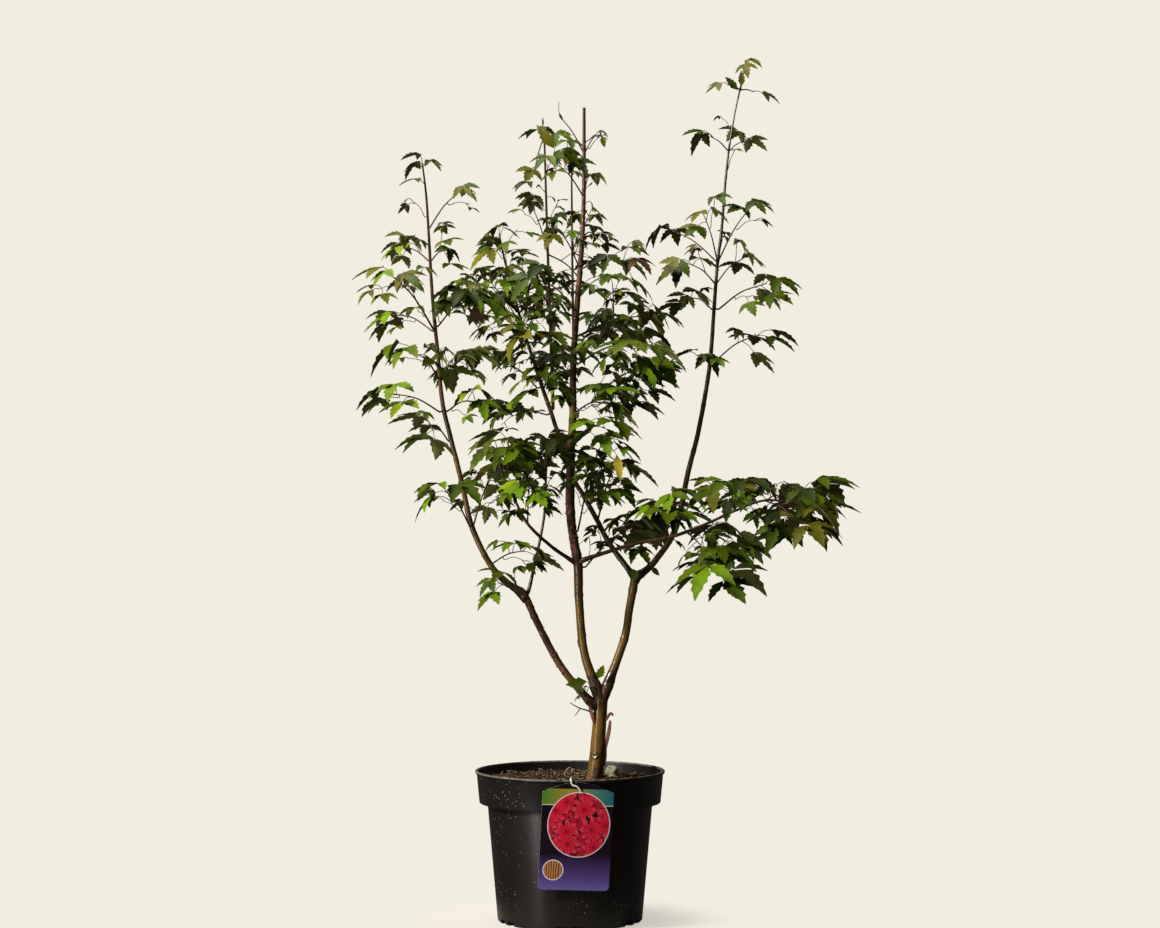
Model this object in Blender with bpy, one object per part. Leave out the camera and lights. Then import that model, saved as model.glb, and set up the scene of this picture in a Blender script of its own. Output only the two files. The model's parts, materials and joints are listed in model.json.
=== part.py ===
"""Young paperbark maple with three main stems, in a round nursery pot with a hanging picture label.

Lengths in the tables are millimetres, made into metres where a mesh is built. +Z is up, the label
faces -Y, and the origin is the centre of the pot's flat underside.
"""
import math
import random

import bmesh
import bpy
from mathutils import Matrix, Vector
from mathutils.bvhtree import BVHTree

MM = 0.001
GAP = 0.3

# Pot: a tapered wall, a wider collar and a thin lip
POT_HEIGHT = 207.2
BASE_RADIUS = 100.0
WALL_TOP_RADIUS = 114.0
COLLAR_FOOT = 163.0
COLLAR_FOOT_RADIUS = 125.2
COLLAR_TOP_RADIUS = 129.0
LIP_RADIUS = 131.0
LIP_FOOT = 203.0
LIP_SLOPE = 0.6
BASE_BEVEL = 3.0
WALL = 2.2
FLOOR = 3.6
POT_SIDES = 36
DRAINS = 6
DRAIN_WIDTH = 14.5
DRAIN_RIB = 6.5
DRAIN_HEIGHT = 6.5
DRAIN_PAST_WALL = 6.0
DRAIN_BELOW = 2.0

# Soil: fills the pot to a little under its lip
SOIL_TOP = 194.0
SOIL_GAP = 2 * GAP

# Label: a flat card that leans on the lip and the collar, with a strip that hooks over the lip
LABEL_WIDTH = 96.0
LABEL_SHOULDER = 191.0
LABEL_PEAK = 204.0
LABEL_FOOT = 57.0
LABEL_THICK = 0.9
LABEL_CORNER = 6.0
CORNER_STEPS = 3
ARCH_STEPS = 8
LABEL_TURN = math.radians(5.3)
LABEL_ROLL = math.radians(-2.2)
HOOK_X = -6.0
HOOK_WIDTH = 9.0
HOOK_OVERLAP = 8.0
HOOK_LEAN = 1.6
HOOK_END = 196.0

# Limbs: points of the centre line and the radius there, from the parent's middle to the tip.
# start is how much of the line belongs to the parent as a stub, end the height where a mass takes over.
LIMBS = {
    "trunk": dict(sides=10, step=14, start=0, line=(
        (33, 0, SOIL_TOP + GAP, 13.6), (34, 0, 200, 11.9), (36.5, 0, 220, 10.7), (40, 0, 262, 9.6),
        (43, 0, 304, 9.0))),
    "left_stem_lower": dict(sides=7, step=32, parent="trunk", start=25, line=(
        (44, 0, 288, 5.0), (22, -2, 308, 5.2), (-14, -6, 353, 5.0), (-45, -10, 411, 4.9),
        (-58, -11, 440, 5.2), (-65, -12, 451, 6.0))),
    "left_stem_upper": dict(sides=6, step=40, parent="left_stem_lower", start=12, end=897, line=(
        (-62, -12, 446, 5.0), (-67, -12, 453, 5.0), (-87, -14, 467, 4.6), (-110, -17, 492, 4.2),
        (-135, -20, 544, 3.8), (-148, -24, 602, 3.5), (-165, -29, 671, 3.2), (-175, -33, 716, 3.0),
        (-181, -38, 782, 2.7), (-188, -45, 859, 2.3), (-193, -52, 950, 1.8), (-196, -57, 998, 1.5),
        (-201, -60, 1040, 1.1))),
    "centre_stem": dict(sides=7, step=38, parent="trunk", start=26, end=897, line=(
        (44, 0, 300, 6.6), (34, 0, 326, 6.6), (19, 0, 373, 5.8), (12.5, 0, 442, 5.9), (11, -1, 490, 6.6),
        (3, -3, 539, 6.2), (0, -4, 585, 6.4), (1.5, -4, 650, 5.8), (4, -3, 700, 5.2), (4.5, -2, 770, 4.4),
        (9.5, 0, 843, 4.0), (14, 1, 900, 3.6), (17, 2, 945, 3.3), (19, 3, 1000, 2.9), (19.5, 4, 1060, 2.5),
        (19.5, 4, 1123, 2.1))),
    "right_stem_lower": dict(sides=7, step=32, parent="trunk", start=34, line=(
        (43, 0, 300, 6.0), (57, 2, 337, 6.0), (76, 5, 391, 5.6), (82, 7, 428, 5.5), (89, 9, 466, 6.0),
        (91, 9, 474, 7.0))),
    "right_stem_upper": dict(sides=6, step=40, parent="right_stem_lower", start=14, end=868, line=(
        (89, 9, 467, 5.4), (94, 9, 475, 5.2), (103, 11, 481, 4.8), (119, 14, 497, 4.4), (147, 18, 541, 4.0),
        (164, 22, 618, 3.6), (178, 26, 673, 3.3), (190, 31, 737, 3.1), (196, 35, 780, 2.9),
        (201, 39, 848, 2.6), (206, 42, 912, 2.3), (212, 45, 960, 2.0), (217, 48, 1023, 1.8),
        (222, 50, 1068, 1.5), (230, 52, 1118, 1.2), (238, 53, 1155, 1.0), (245, 54, 1186, 0.8))),
    "inner_stem": dict(sides=6, step=40, parent="right_stem_lower", start=11, end=783, line=(
        (90, 9, 470, 3.8), (81, 14, 484, 3.8), (55, 22, 519, 3.7), (37, 28, 553, 3.5), (18, 33, 587, 3.4),
        (2, 38, 616, 3.3), (-26, 52, 700, 3.0), (-39, 62, 737, 2.8), (-52, 74, 777, 2.5), (-65, 84, 816, 2.2),
        (-80, 96, 871, 1.9), (-93, 104, 919, 1.5), (-101, 108, 957, 1.1))),
    "right_low_bough": dict(sides=6, step=40, parent="centre_stem", start=14, end_run=205, line=(
        (11, -1, 492, 2.9), (20, -6, 498, 2.9), (55, -16, 510, 2.7), (91, -24, 521, 2.6),
        (130, -30, 528, 2.5), (160, -32, 537, 2.3), (192, -30, 550, 2.1), (227, -28, 566, 1.9),
        (268, -26, 580, 1.6), (318, -24, 576, 1.2))),
    "left_low_bough": dict(sides=6, step=40, parent="centre_stem", start=14, end_run=82, line=(
        (11, -1, 490, 2.6), (2, -6, 497, 2.6), (-26, -20, 517, 2.4), (-58, -30, 548, 2.1),
        (-77, -36, 584, 1.8), (-92, -42, 614, 1.4), (-100, -48, 652, 1.1))),
    "knuckle_shoot": dict(sides=6, step=40, parent="left_stem_lower", start=8.5, end_run=128, line=(
        (-63, -12, 448, 2.4), (-57, -6, 456, 2.4), (-50, 0, 486, 2.2), (-41, 6, 528, 2.0),
        (-35, 10, 566, 1.8), (-33, 11, 622, 1.5), (-30, 12, 662, 1.1))),
}

# Foliage masses: the limb that carries each one, then its twigs. A twig is the point of its foot as seen
# from the front (x, z), its tip (x, y, z), its number of leaves and the length of a blade. Where the first
# twig's foot is None, the mass takes over from the end of its limb, whose line goes on as the mass's stem.
MASSES = {
    "right_crown": ("right_stem_upper", (
        (None, None, 2, 30), ((238, 1150), (220, 44, 1160), 1, 36), ((237, 1147), (258, 60, 1152), 1, 34),
        ((221, 1066), (196, 30, 1086), 2, 46), ((221, 1066), (244, 72, 1084), 2, 44),
        ((206, 918), (249, 0, 985), 3, 46), ((206, 918), (140, 92, 962), 3, 48),
        ((209, 932), (186, -22, 968), 3, 46), ((203, 883), (246, 112, 922), 3, 44),
        ((203, 883), (166, -8, 906), 3, 48))),
    "right_spray_1": ("right_stem_upper", (((200, 846), (272, 6, 880), 4, 52),)),
    "right_spray_2": ("right_stem_upper", (((200, 846), (168, 104, 866), 3, 46),)),
    "right_spray_3": ("right_stem_upper", (((195, 771), (266, 76, 812), 4, 52),)),
    "right_spray_4": ("right_stem_upper", (((195, 771), (174, -8, 780), 2, 42),)),
    "low_right_end": ("right_low_bough", (
        (None, None, 4, 62), ((228, 566), (214, -92, 598), 4, 50), ((262, 578), (308, -82, 552), 4, 60),
        ((262, 578), (300, 46, 582), 4, 58), ((300, 578), (338, 2, 594), 2, 56))),
    "low_right_1": ("right_low_bough", (((128, 528), (138, -84, 578), 4, 54),)),
    "low_right_2": ("right_low_bough", (((140, 531), (122, 62, 560), 4, 54),)),
    "low_right_3": ("right_low_bough", (((160, 537), (202, -86, 482), 4, 58),)),
    "low_right_4": ("right_low_bough", (((176, 543), (222, 60, 520), 4, 58),)),
    "left_crown": ("left_stem_upper", (
        (None, None, 4, 38), ((-194, 966), (-152, -92, 996), 2, 46), ((-191, 915), (-230, -8, 930), 4, 46),
        ((-191, 915), (-166, -104, 918), 3, 42))),
    "left_spray_1": ("left_stem_upper", (((-185, 814), (-238, -128, 882), 4, 46),)),
    "left_spray_2": ("left_stem_upper", (((-185, 812), (-248, 26, 838), 4, 46),)),
    "left_spray_3": ("left_stem_upper", (
        ((-185, 818), (-132, -112, 852), 4, 50), ((-160, 836), (-104, -62, 884), 3, 46))),
    "left_spray_4": ("left_stem_upper", (((-178, 748), (-206, -128, 778), 4, 52),)),
    "left_spray_5": ("left_stem_upper", (((-178, 748), (-156, 44, 782), 4, 50),)),
    "left_spray_6": ("left_stem_upper", (((-173, 702), (-242, -52, 726), 4, 50),)),
    "left_spray_7": ("left_stem_upper", (((-173, 702), (-124, -110, 714), 4, 50),)),
    "left_spray_8": ("left_stem_upper", (((-163, 662), (-196, 48, 680), 4, 52),)),
    "left_spray_9": ("left_stem_upper", (((-143, 566), (-168, -92, 594), 3, 50),)),
    "left_spray_10": ("left_stem_upper", (
        ((-143, 570), (-110, 52, 612), 4, 48), ((-128, 588), (-96, -14, 640), 3, 44))),
    "left_spray_11": ("left_stem_upper", (((-111, 494), (-62, -66, 512), 4, 46),)),
    "left_spray_12": ("left_stem_lower", (((-60, 444), (-98, -50, 468), 3, 42),)),
    "low_left_end": ("left_low_bough", (
        (None, None, 4, 48), ((-60, 552), (-56, -88, 596), 3, 42), ((-86, 600), (-82, -112, 656), 4, 48))),
    "knuckle_end": ("knuckle_shoot", ((None, None, 4, 50), ((-34, 600), (-54, 74, 644), 4, 46))),
    "centre_crown": ("centre_stem", (
        (None, None, 0, 30),
        ((19.5, 1075), (-11, 6, 1108), 0, 22), ((19.5, 1075), (38, 2, 1088), 1, 20),
        ((19, 995), (-20, -64, 1040), 4, 52), ((19, 1000), (26, 60, 1034), 2, 36),
        ((14.5, 910), (-20, -70, 954), 3, 44), ((13.5, 905), (78, -48, 908), 5, 54),
        ((17, 938), (36, 66, 952), 3, 44))),
    "centre_spray_1": ("centre_stem", (
        ((7, 808), (110, -30, 834), 4, 54), ((50, 824), (58, -78, 872), 3, 48))),
    "centre_spray_2": ("centre_stem", (((7, 808), (72, 108, 818), 4, 54),)),
    "centre_spray_3": ("centre_stem", (((5, 768), (96, -112, 790), 4, 56),)),
    "centre_spray_4": ("centre_stem", (
        ((4.5, 742), (92, 26, 730), 4, 54), ((50, 740), (116, -32, 766), 2, 50))),
    "centre_spray_5": ("centre_stem", (((4, 700), (52, -104, 712), 4, 54),)),
    "centre_spray_6": ("centre_stem", (((7, 534), (44, -60, 660), 5, 52),)),
    "centre_spray_7": ("centre_stem", (((12, 486), (88, 4, 545), 3, 50),)),
    "centre_spray_8": ("centre_stem", (((9.5, 843), (-40, -88, 878), 4, 52),)),
    "centre_spray_9": ("centre_stem", (((5, 790), (-54, -110, 802), 4, 52),)),
    "centre_spray_10": ("centre_stem", (((4.5, 740), (-48, -90, 742), 4, 52),)),
    "inner_crown": ("inner_stem", (
        (None, None, 5, 42), ((-70, 834), (-108, 44, 880), 4, 46), ((-66, 818), (-30, 152, 862), 4, 48),
        ((-78, 864), (-48, 60, 896), 3, 44), ((-56, 792), (-98, 16, 832), 4, 46))),
    "inner_spray_1": ("inner_stem", (((-45, 755), (-100, 66, 776), 4, 50),)),
    "inner_spray_2": ("inner_stem", (((-45, 757), (-12, 166, 780), 4, 50),)),
    "inner_spray_3": ("inner_stem", (((-27, 702), (-88, 72, 702), 4, 50),)),
    "inner_spray_4": ("inner_stem", (((37, 553), (64, 104, 628), 4, 52),)),
    "upright_1": ("inner_stem", (
        ((-27, 704), (-36, 36, 1088), 3, 50), ((-20, 960), (-52, 84, 990), 2, 44),
        ((-24, 1010), (-50, 6, 1034), 2, 44), ((-12, 860), (22, 116, 884), 3, 50))),
    "upright_2": ("centre_stem", (
        ((4, 738), (2, 34, 1060), 3, 34), ((-1, 950), (26, 84, 976), 2, 40),
        ((-4, 880), (26, 80, 904), 2, 46))),
    "fork_spray": ("trunk", (((40, 296), (20, -24, 318), 3, 28),)),
}

# Twig: its own radius and what it gains over its length, a side twig's least and most, how far it first
# leads straight off the bark and the rise of its arch as shares of its length, and how its radius falls
TWIG_RADIUS = 1.25
TWIG_GAIN = 0.005
SIDE_TWIG_RADII = (1.3, 1.5)
SIDE_TWIG_SHARE = 0.85
TWIG_LEAD = 4.0
TWIG_LEAD_SHARE = 0.2
TWIG_RISE = 0.07
TWIG_TAPER = (1.0, 0.95, 0.9, 0.85)
TWIG_STEP = 26.0
TWIG_STEP_SHARE = 0.45
TWIG_SIDES = 4
STEM_END_SIDES = 5
FOOT_SPAN = 30.0
FOOT_RISE = 0.3
FOOT_RAY = 40.0

# Leaf: three leaflets on one stalk. The edge's points are half its outline, as shares of the blade's length,
# forward then aside. The blade is thickest at its hub, falls towards its tip and bends down at its wings.
LEAF_EDGE = ((0.370, 0.700), (0.440, 0.350), (0.160, 0.080), (0.520, 0.240))
LEAF_HUB = 0.04
LEAF_BACK = 0.02
LEAF_HALF_THICK = 1.1
LEAF_FALL = 0.16
LEAF_WING = 0.28
STALK_RADIUS = 0.8
STALK_HALF_SHARE = 0.9
STALK_KEEL_SHARE = 1.3
STALK_ROOT = 0.5
STALK_START = 7.0

# Growth: the ranges of each leaf's own draw, and how leaves follow down a twig from its tip
STALK_SPREAD = (0.7, 1.1)
STALK_LIFT = (0.05, 0.45)
STALK_AHEAD = (0.3, 0.7)
STALK_LENGTH = (0.34, 0.52)
BLADE_FALL = (0.30, 1.15)
BLADE_ROLL = (-0.5, 0.5)
BLADE_SIZE = (0.85, 1.12)
TURN_SWAY = (-0.35, 0.35)
TIP_LEAF_BACK = 2.5
TIP_LEAF_SHARE = 0.85
TIP_LEAF_ASIDE = 0.3
FIRST_PAIR_BACK = 6.0
PAIR_STEP = 24.0
PAIR_STEP_SHARE = 0.26
PAIR_STAGGER = 3.0
LEAF_SHRINK = 0.03
TRIES = 10
CLEARANCE = 0.5

# A mass draws from its own seed: this number and its place in the table, or a number here where that draw
# would pinch a stalk
FIRST_SEED = 100
SEEDS = {
    "centre_crown": 202, "left_spray_1": 201, "left_spray_3": 201, "upright_1": 201, "inner_spray_3": 201,
}

BARK = (0.115, 0.062, 0.030, 1)
LEAF = (0.050, 0.130, 0.018, 1)


def material(name, colour, roughness):
    """A plain surface that isn't metal."""
    made = bpy.data.materials.new(name)
    made.use_nodes = True
    shader = made.node_tree.nodes["Principled BSDF"]
    shader.inputs["Base Color"].default_value = colour
    shader.inputs["Roughness"].default_value = roughness
    shader.inputs["Metallic"].default_value = 0.0
    return made


def solid(name, points, faces, finish=None):
    """A mesh object from points in millimetres, with its faces turned outwards."""
    mesh = bpy.data.meshes.new(name)
    mesh.from_pydata([tuple(Vector(p) * MM) for p in points], [], faces)
    form = bmesh.new()
    form.from_mesh(mesh)
    bmesh.ops.recalc_face_normals(form, faces=form.faces)
    form.to_mesh(mesh)
    form.free()
    made = bpy.data.objects.new(name, mesh)
    bpy.context.scene.collection.objects.link(made)
    if finish:
        mesh.materials.append(finish)
    return made


def join(name, pieces, finish, operation="UNION", solver="MANIFOLD"):
    """One closed body: the first piece with all the others added to it, or cut from it."""
    body = pieces[0]
    body.name = name
    body.data.name = name
    if len(pieces) > 1:
        rest = bpy.data.collections.new(name + "_pieces")
        bpy.context.scene.collection.children.link(rest)
        for piece in pieces[1:]:
            bpy.context.scene.collection.objects.unlink(piece)
            rest.objects.link(piece)
        step = body.modifiers.new("join", "BOOLEAN")
        step.operation = operation
        step.operand_type = "COLLECTION"
        step.collection = rest
        step.solver = solver
        bpy.context.view_layer.update()
        shaped = body.evaluated_get(bpy.context.evaluated_depsgraph_get())
        mesh = bpy.data.meshes.new_from_object(shaped)
        body.modifiers.remove(step)
        body.data = mesh
        mesh.name = name
        for piece in pieces[1:]:
            bpy.data.objects.remove(piece)
        bpy.data.collections.remove(rest)
    tidy(body.data)
    body.data.materials.clear()
    body.data.materials.append(finish)
    return body


def tidy(mesh):
    """Drops points inside a straight edge and loose scraps, and fans out faces that'd share a diagonal."""
    form = bmesh.new()
    form.from_mesh(mesh)
    spare = [vert for vert in form.verts if len(vert.link_edges) == 2]
    bmesh.ops.dissolve_verts(form, verts=spare)
    form.verts.ensure_lookup_table()
    form.verts.index_update()
    trial = form.copy()
    bmesh.ops.triangulate(trial, faces=trial.faces)
    trial.verts.index_update()
    doubled = [{vert.index for vert in edge.verts} for edge in trial.edges if len(edge.link_faces) > 2]
    trial.free()
    if doubled:
        crowded = [face for face in form.faces if len(face.verts) > 3
                   and any(pair <= {vert.index for vert in face.verts} for pair in doubled)]
        bmesh.ops.poke(form, faces=crowded)
    form.verts.ensure_lookup_table()
    form.verts.index_update()
    seen = set()
    bodies = []
    for seed in form.verts:
        if seed.index in seen:
            continue
        group = []
        queue = [seed]
        seen.add(seed.index)
        while queue:
            vert = queue.pop()
            group.append(vert)
            for edge in vert.link_edges:
                other = edge.other_vert(vert)
                if other.index not in seen:
                    seen.add(other.index)
                    queue.append(other)
        bodies.append(group)
    bodies.sort(key=len, reverse=True)
    scraps = [vert for group in bodies[1:] for vert in group]
    if scraps:
        bmesh.ops.delete(form, geom=scraps, context="VERTS")
    form.to_mesh(mesh)
    form.free()


def shade(made, angle=35):
    """Shades a body smooth, but for edges sharper than the angle."""
    made.data.shade_smooth()
    made.data.set_sharp_from_angle(angle=math.radians(angle))


def turned(name, profile, finish, sides=POT_SIDES):
    """A solid of revolution from a profile of (radius, height) that starts and ends on the axis."""
    points = [(0, 0, profile[0][1])]
    for radius, height in profile[1:-1]:
        for k in range(sides):
            angle = math.tau * k / sides
            points.append((radius * math.cos(angle), radius * math.sin(angle), height))
    points.append((0, 0, profile[-1][1]))
    last = len(points) - 1
    rings = len(profile) - 2
    faces = []
    for k in range(sides):
        after = (k + 1) % sides
        faces.append((0, 1 + after, 1 + k))
        for ring in range(rings - 1):
            low = 1 + ring * sides
            high = low + sides
            faces.append((low + k, low + after, high + after, high + k))
        top = 1 + (rings - 1) * sides
        faces.append((top + k, top + after, last))
    return solid(name, points, faces, finish)


def box(name, low, high, turn):
    """A cutter box, turned about the pot's axis."""
    points = [turn @ Vector((x, y, z)) for x in (low[0], high[0]) for y in (low[1], high[1])
              for z in (low[2], high[2])]
    faces = ((0, 1, 3, 2), (4, 6, 7, 5), (0, 4, 5, 1), (2, 3, 7, 6), (0, 2, 6, 4), (1, 5, 7, 3))
    return solid(name, points, faces)


def inner_wall(height):
    """Inner radius of the pot's wall below the collar."""
    rise = (WALL_TOP_RADIUS - BASE_RADIUS) / COLLAR_FOOT
    return BASE_RADIUS - WALL + rise * height


def inner_collar(height):
    """Inner radius of the collar."""
    rise = (COLLAR_TOP_RADIUS - COLLAR_FOOT_RADIUS) / (LIP_FOOT - COLLAR_FOOT)
    return COLLAR_FOOT_RADIUS - WALL + rise * (height - COLLAR_FOOT)


def make_pot():
    """The pot's thin shell, with a pair of drain notches at each of the places round its foot."""
    finish = material("black_plastic", (0.012, 0.012, 0.013, 1), 0.38)
    ledge = COLLAR_FOOT + WALL
    pot = turned("pot", (
        (0, 0), (BASE_RADIUS - BASE_BEVEL, 0), (BASE_RADIUS, BASE_BEVEL), (WALL_TOP_RADIUS, COLLAR_FOOT),
        (COLLAR_FOOT_RADIUS, COLLAR_FOOT), (COLLAR_TOP_RADIUS, LIP_FOOT), (LIP_RADIUS, LIP_FOOT + LIP_SLOPE),
        (LIP_RADIUS, POT_HEIGHT), (inner_collar(POT_HEIGHT), POT_HEIGHT), (inner_collar(ledge), ledge),
        (inner_wall(ledge), ledge), (inner_wall(FLOOR), FLOOR), (0, FLOOR)), finish)
    cutters = []
    for k in range(DRAINS):
        turn = Matrix.Rotation(math.tau * k / DRAINS - math.pi / 2, 3, "Z")
        for side in (-1, 1):
            middle = side * (DRAIN_WIDTH + DRAIN_RIB) / 2
            low = (inner_wall(0) - DRAIN_PAST_WALL, middle - DRAIN_WIDTH / 2, -DRAIN_BELOW)
            high = (BASE_RADIUS + DRAIN_PAST_WALL, middle + DRAIN_WIDTH / 2, DRAIN_HEIGHT)
            cutters.append(box("drain", low, high, turn))
    shade(join("pot", [pot] + cutters, finish, "DIFFERENCE", "EXACT"))


def make_soil():
    """The soil: one body that fills the pot, a gap clear of its wall, ledge and floor."""
    finish = material("potting_soil", (0.045, 0.022, 0.010, 1), 0.95)
    ledge = COLLAR_FOOT + WALL + GAP
    floor = FLOOR + GAP
    soil = turned("soil", (
        (0, floor), (inner_wall(floor) - SOIL_GAP, floor), (inner_wall(ledge) - SOIL_GAP, ledge),
        (inner_collar(ledge) - SOIL_GAP, ledge), (inner_collar(SOIL_TOP) - SOIL_GAP, SOIL_TOP),
        (0, SOIL_TOP)), finish)
    shade(soil)


def lean(height):
    """How far the label's back stands before the pot's axis: it rests on the lip and the collar's foot."""
    slope = (LIP_RADIUS - COLLAR_FOOT_RADIUS) / (LIP_FOOT - COLLAR_FOOT)
    return LIP_RADIUS + GAP + slope * (height - LIP_FOOT - 1)


def make_label():
    """The card with rounded lower corners and an arched top, and the strip over the lip, as one body."""
    finish = material("printed_card", (0.45, 0.03, 0.08, 1), 0.35)
    half = LABEL_WIDTH / 2
    outline = []
    for corner, first in ((1, 180), (-1, 270)):
        for k in range(CORNER_STEPS + 1):
            angle = math.radians(first + 90 * k / CORNER_STEPS)
            outline.append((-corner * (half - LABEL_CORNER) + LABEL_CORNER * math.cos(angle),
                            LABEL_FOOT + LABEL_CORNER + LABEL_CORNER * math.sin(angle)))
    for k in range(ARCH_STEPS + 1):
        share = k / ARCH_STEPS
        outline.append((half - LABEL_WIDTH * share,
                        LABEL_SHOULDER + (LABEL_PEAK - LABEL_SHOULDER) * math.sin(math.pi * share)))
    roll = Matrix.Rotation(LABEL_ROLL, 2)
    pivot = Vector((0, LABEL_PEAK))
    flat = [roll @ (Vector(p) - pivot) + pivot for p in outline]
    turn = Matrix.Rotation(LABEL_TURN, 3, "Z")
    points = [turn @ Vector((p.x, -lean(p.y) - depth, p.y)) for depth in (0, LABEL_THICK) for p in flat]
    count = len(flat)
    faces = [tuple(range(count)), tuple(range(2 * count - 1, count - 1, -1))]
    faces += [(k, (k + 1) % count, (k + 1) % count + count, k + count) for k in range(count)]
    card = solid("plant_label", points, faces)

    front = LIP_RADIUS + GAP
    back = inner_collar(POT_HEIGHT) * math.cos(math.pi / POT_SIDES) - SOIL_GAP
    top = POT_HEIGHT + GAP
    foot = LABEL_PEAK - HOOK_OVERLAP
    thick = LABEL_THICK
    strip = (
        (front, foot), (front, top), (back, top), (back - HOOK_LEAN, HOOK_END),
        (back - HOOK_LEAN - thick, HOOK_END), (back - thick, top + thick), (front + thick, top + thick),
        (front + thick, foot))
    points = [turn @ Vector((x, -depth, height)) for x in (HOOK_X - HOOK_WIDTH / 2, HOOK_X + HOOK_WIDTH / 2)
              for depth, height in strip]
    count = len(strip)
    faces = [tuple(range(count)), tuple(range(2 * count - 1, count - 1, -1))]
    faces += [(k, (k + 1) % count, (k + 1) % count + count, k + count) for k in range(count)]
    hook = solid("hook", points, faces)
    join("plant_label", [card, hook], finish)


def smooth_line(points, step):
    """Points about a step apart on a smooth curve through the given points, each (x, y, z, radius)."""
    rows = [Vector(p) for p in points]
    rows = [2 * rows[0] - rows[1]] + rows + [2 * rows[-1] - rows[-2]]
    line = []
    for before, here, after, later in zip(rows, rows[1:], rows[2:], rows[3:]):
        count = max(1, round((after - here).length / step))
        for k in range(count):
            t = k / count
            line.append(0.5 * (2 * here + (after - before) * t
                               + (2 * before - 5 * here + 4 * after - later) * t ** 2
                               + (3 * here - before - 3 * after + later) * t ** 3))
    line.append(rows[-2])
    return line


def runs(line):
    """Distance along a line to each of its points."""
    total = [0.0]
    for here, after in zip(line, line[1:]):
        total.append(total[-1] + (after.xyz - here.xyz).length)
    return total


def part_of(line, start, end):
    """The stretch of a line between two distances along it."""
    along = runs(line)

    def at(run):
        for k in range(len(line) - 1):
            if run <= along[k + 1] or k == len(line) - 2:
                return line[k].lerp(line[k + 1], (run - along[k]) / (along[k + 1] - along[k]))

    inner = [p for p, run in zip(line, along) if start + 2 < run < end - 2]
    return [at(start)] + inner + [at(end)]


def run_at(line, height):
    """Distance along a line where it first rises to a height."""
    for here, after, run in zip(line, line[1:], runs(line)):
        if here.z < height <= after.z:
            return run + (after.xyz - here.xyz).length * (height - here.z) / (after.z - here.z)
    return runs(line)[-1]


def heading(line, run):
    """A line's direction at a distance along it."""
    ends = part_of(line, max(run - 3, 0), min(run + 3, runs(line)[-1]))
    return (ends[-1].xyz - ends[0].xyz).normalized()


def tube(line, sides, first=None, last=None):
    """Points and faces of a closed tube round a line; first and last are the normals of its end faces."""
    points = []
    faces = []
    side = None
    for k, here in enumerate(line):
        before = line[max(k - 1, 0)].xyz
        after = line[min(k + 1, len(line) - 1)].xyz
        forward = (after - before).normalized()
        if k == 0 and first is not None:
            forward = first
        if k == len(line) - 1 and last is not None:
            forward = last
        if side is None:
            side = forward.orthogonal().normalized()
        side = (side - forward * side.dot(forward)).normalized()
        across = forward.cross(side)
        for j in range(sides):
            angle = math.tau * j / sides
            points.append(here.xyz + here.w * (side * math.cos(angle) + across * math.sin(angle)))
    for k in range(len(line) - 1):
        for j in range(sides):
            low = k * sides
            after = (j + 1) % sides
            faces.append((low + j, low + after, low + sides + after))
            faces.append((low + j, low + sides + after, low + sides + j))
    faces.append(tuple(reversed(range(sides))))
    faces.append(tuple(range((len(line) - 1) * sides, len(line) * sides)))
    return points, faces


def tree_of(points, faces):
    """A search tree of a shape's faces, for rays and for overlaps."""
    return BVHTree.FromPolygons([tuple(p) for p in points], faces)


def swollen(points, faces):
    """The same shape with each point pushed out by the clearance."""
    push = [Vector() for _ in points]
    middle = sum((Vector(p) for p in points), Vector()) / len(points)
    for face in faces:
        a, b, c = (Vector(points[j]) for j in face[:3])
        normal = (b - a).cross(c - a).normalized()
        for j in face:
            push[j] += normal
    flip = 1 if sum((Vector(p) - middle).dot(n) for p, n in zip(points, push)) > 0 else -1
    return [Vector(p) + n.normalized() * CLEARANCE * flip for p, n in zip(points, push)]


def limb_lines():
    """Each limb's whole line, and the distances along it where its own solid starts and ends."""
    lines = {}
    for name, limb in LIMBS.items():
        line = smooth_line(limb["line"], limb["step"])
        end = runs(line)[-1]
        if "end" in limb:
            end = run_at(line, limb["end"])
        if "end_run" in limb:
            end = limb["end_run"]
        lines[name] = (line, limb["start"], end)
    return lines


def make_limbs(lines, finish):
    """The trunk and the main stems and boughs, each with the stubs of the limbs that it carries."""
    shapes = {}
    for name, (line, start, end) in lines.items():
        sides = LIMBS[name]["sides"]
        own = part_of(line, start + (GAP if start else 0), end)
        foot = heading(line, start) if start else Vector((0, 0, 1))
        pieces = [solid(name, *tube(own, sides, foot, heading(line, end)))]
        for other, (branch, root, _) in lines.items():
            if LIMBS[other].get("parent") == name:
                stub = tube(part_of(branch, 0, root), LIMBS[other]["sides"], None, heading(branch, root))
                pieces.append(solid(other + "_stub", *stub))
        made = join(name, pieces, finish)
        shade(made, 50)
        points = [v.co / MM for v in made.data.vertices]
        shapes[name] = tree_of(points, [tuple(p.vertices) for p in made.data.polygons])
    return shapes


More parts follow.
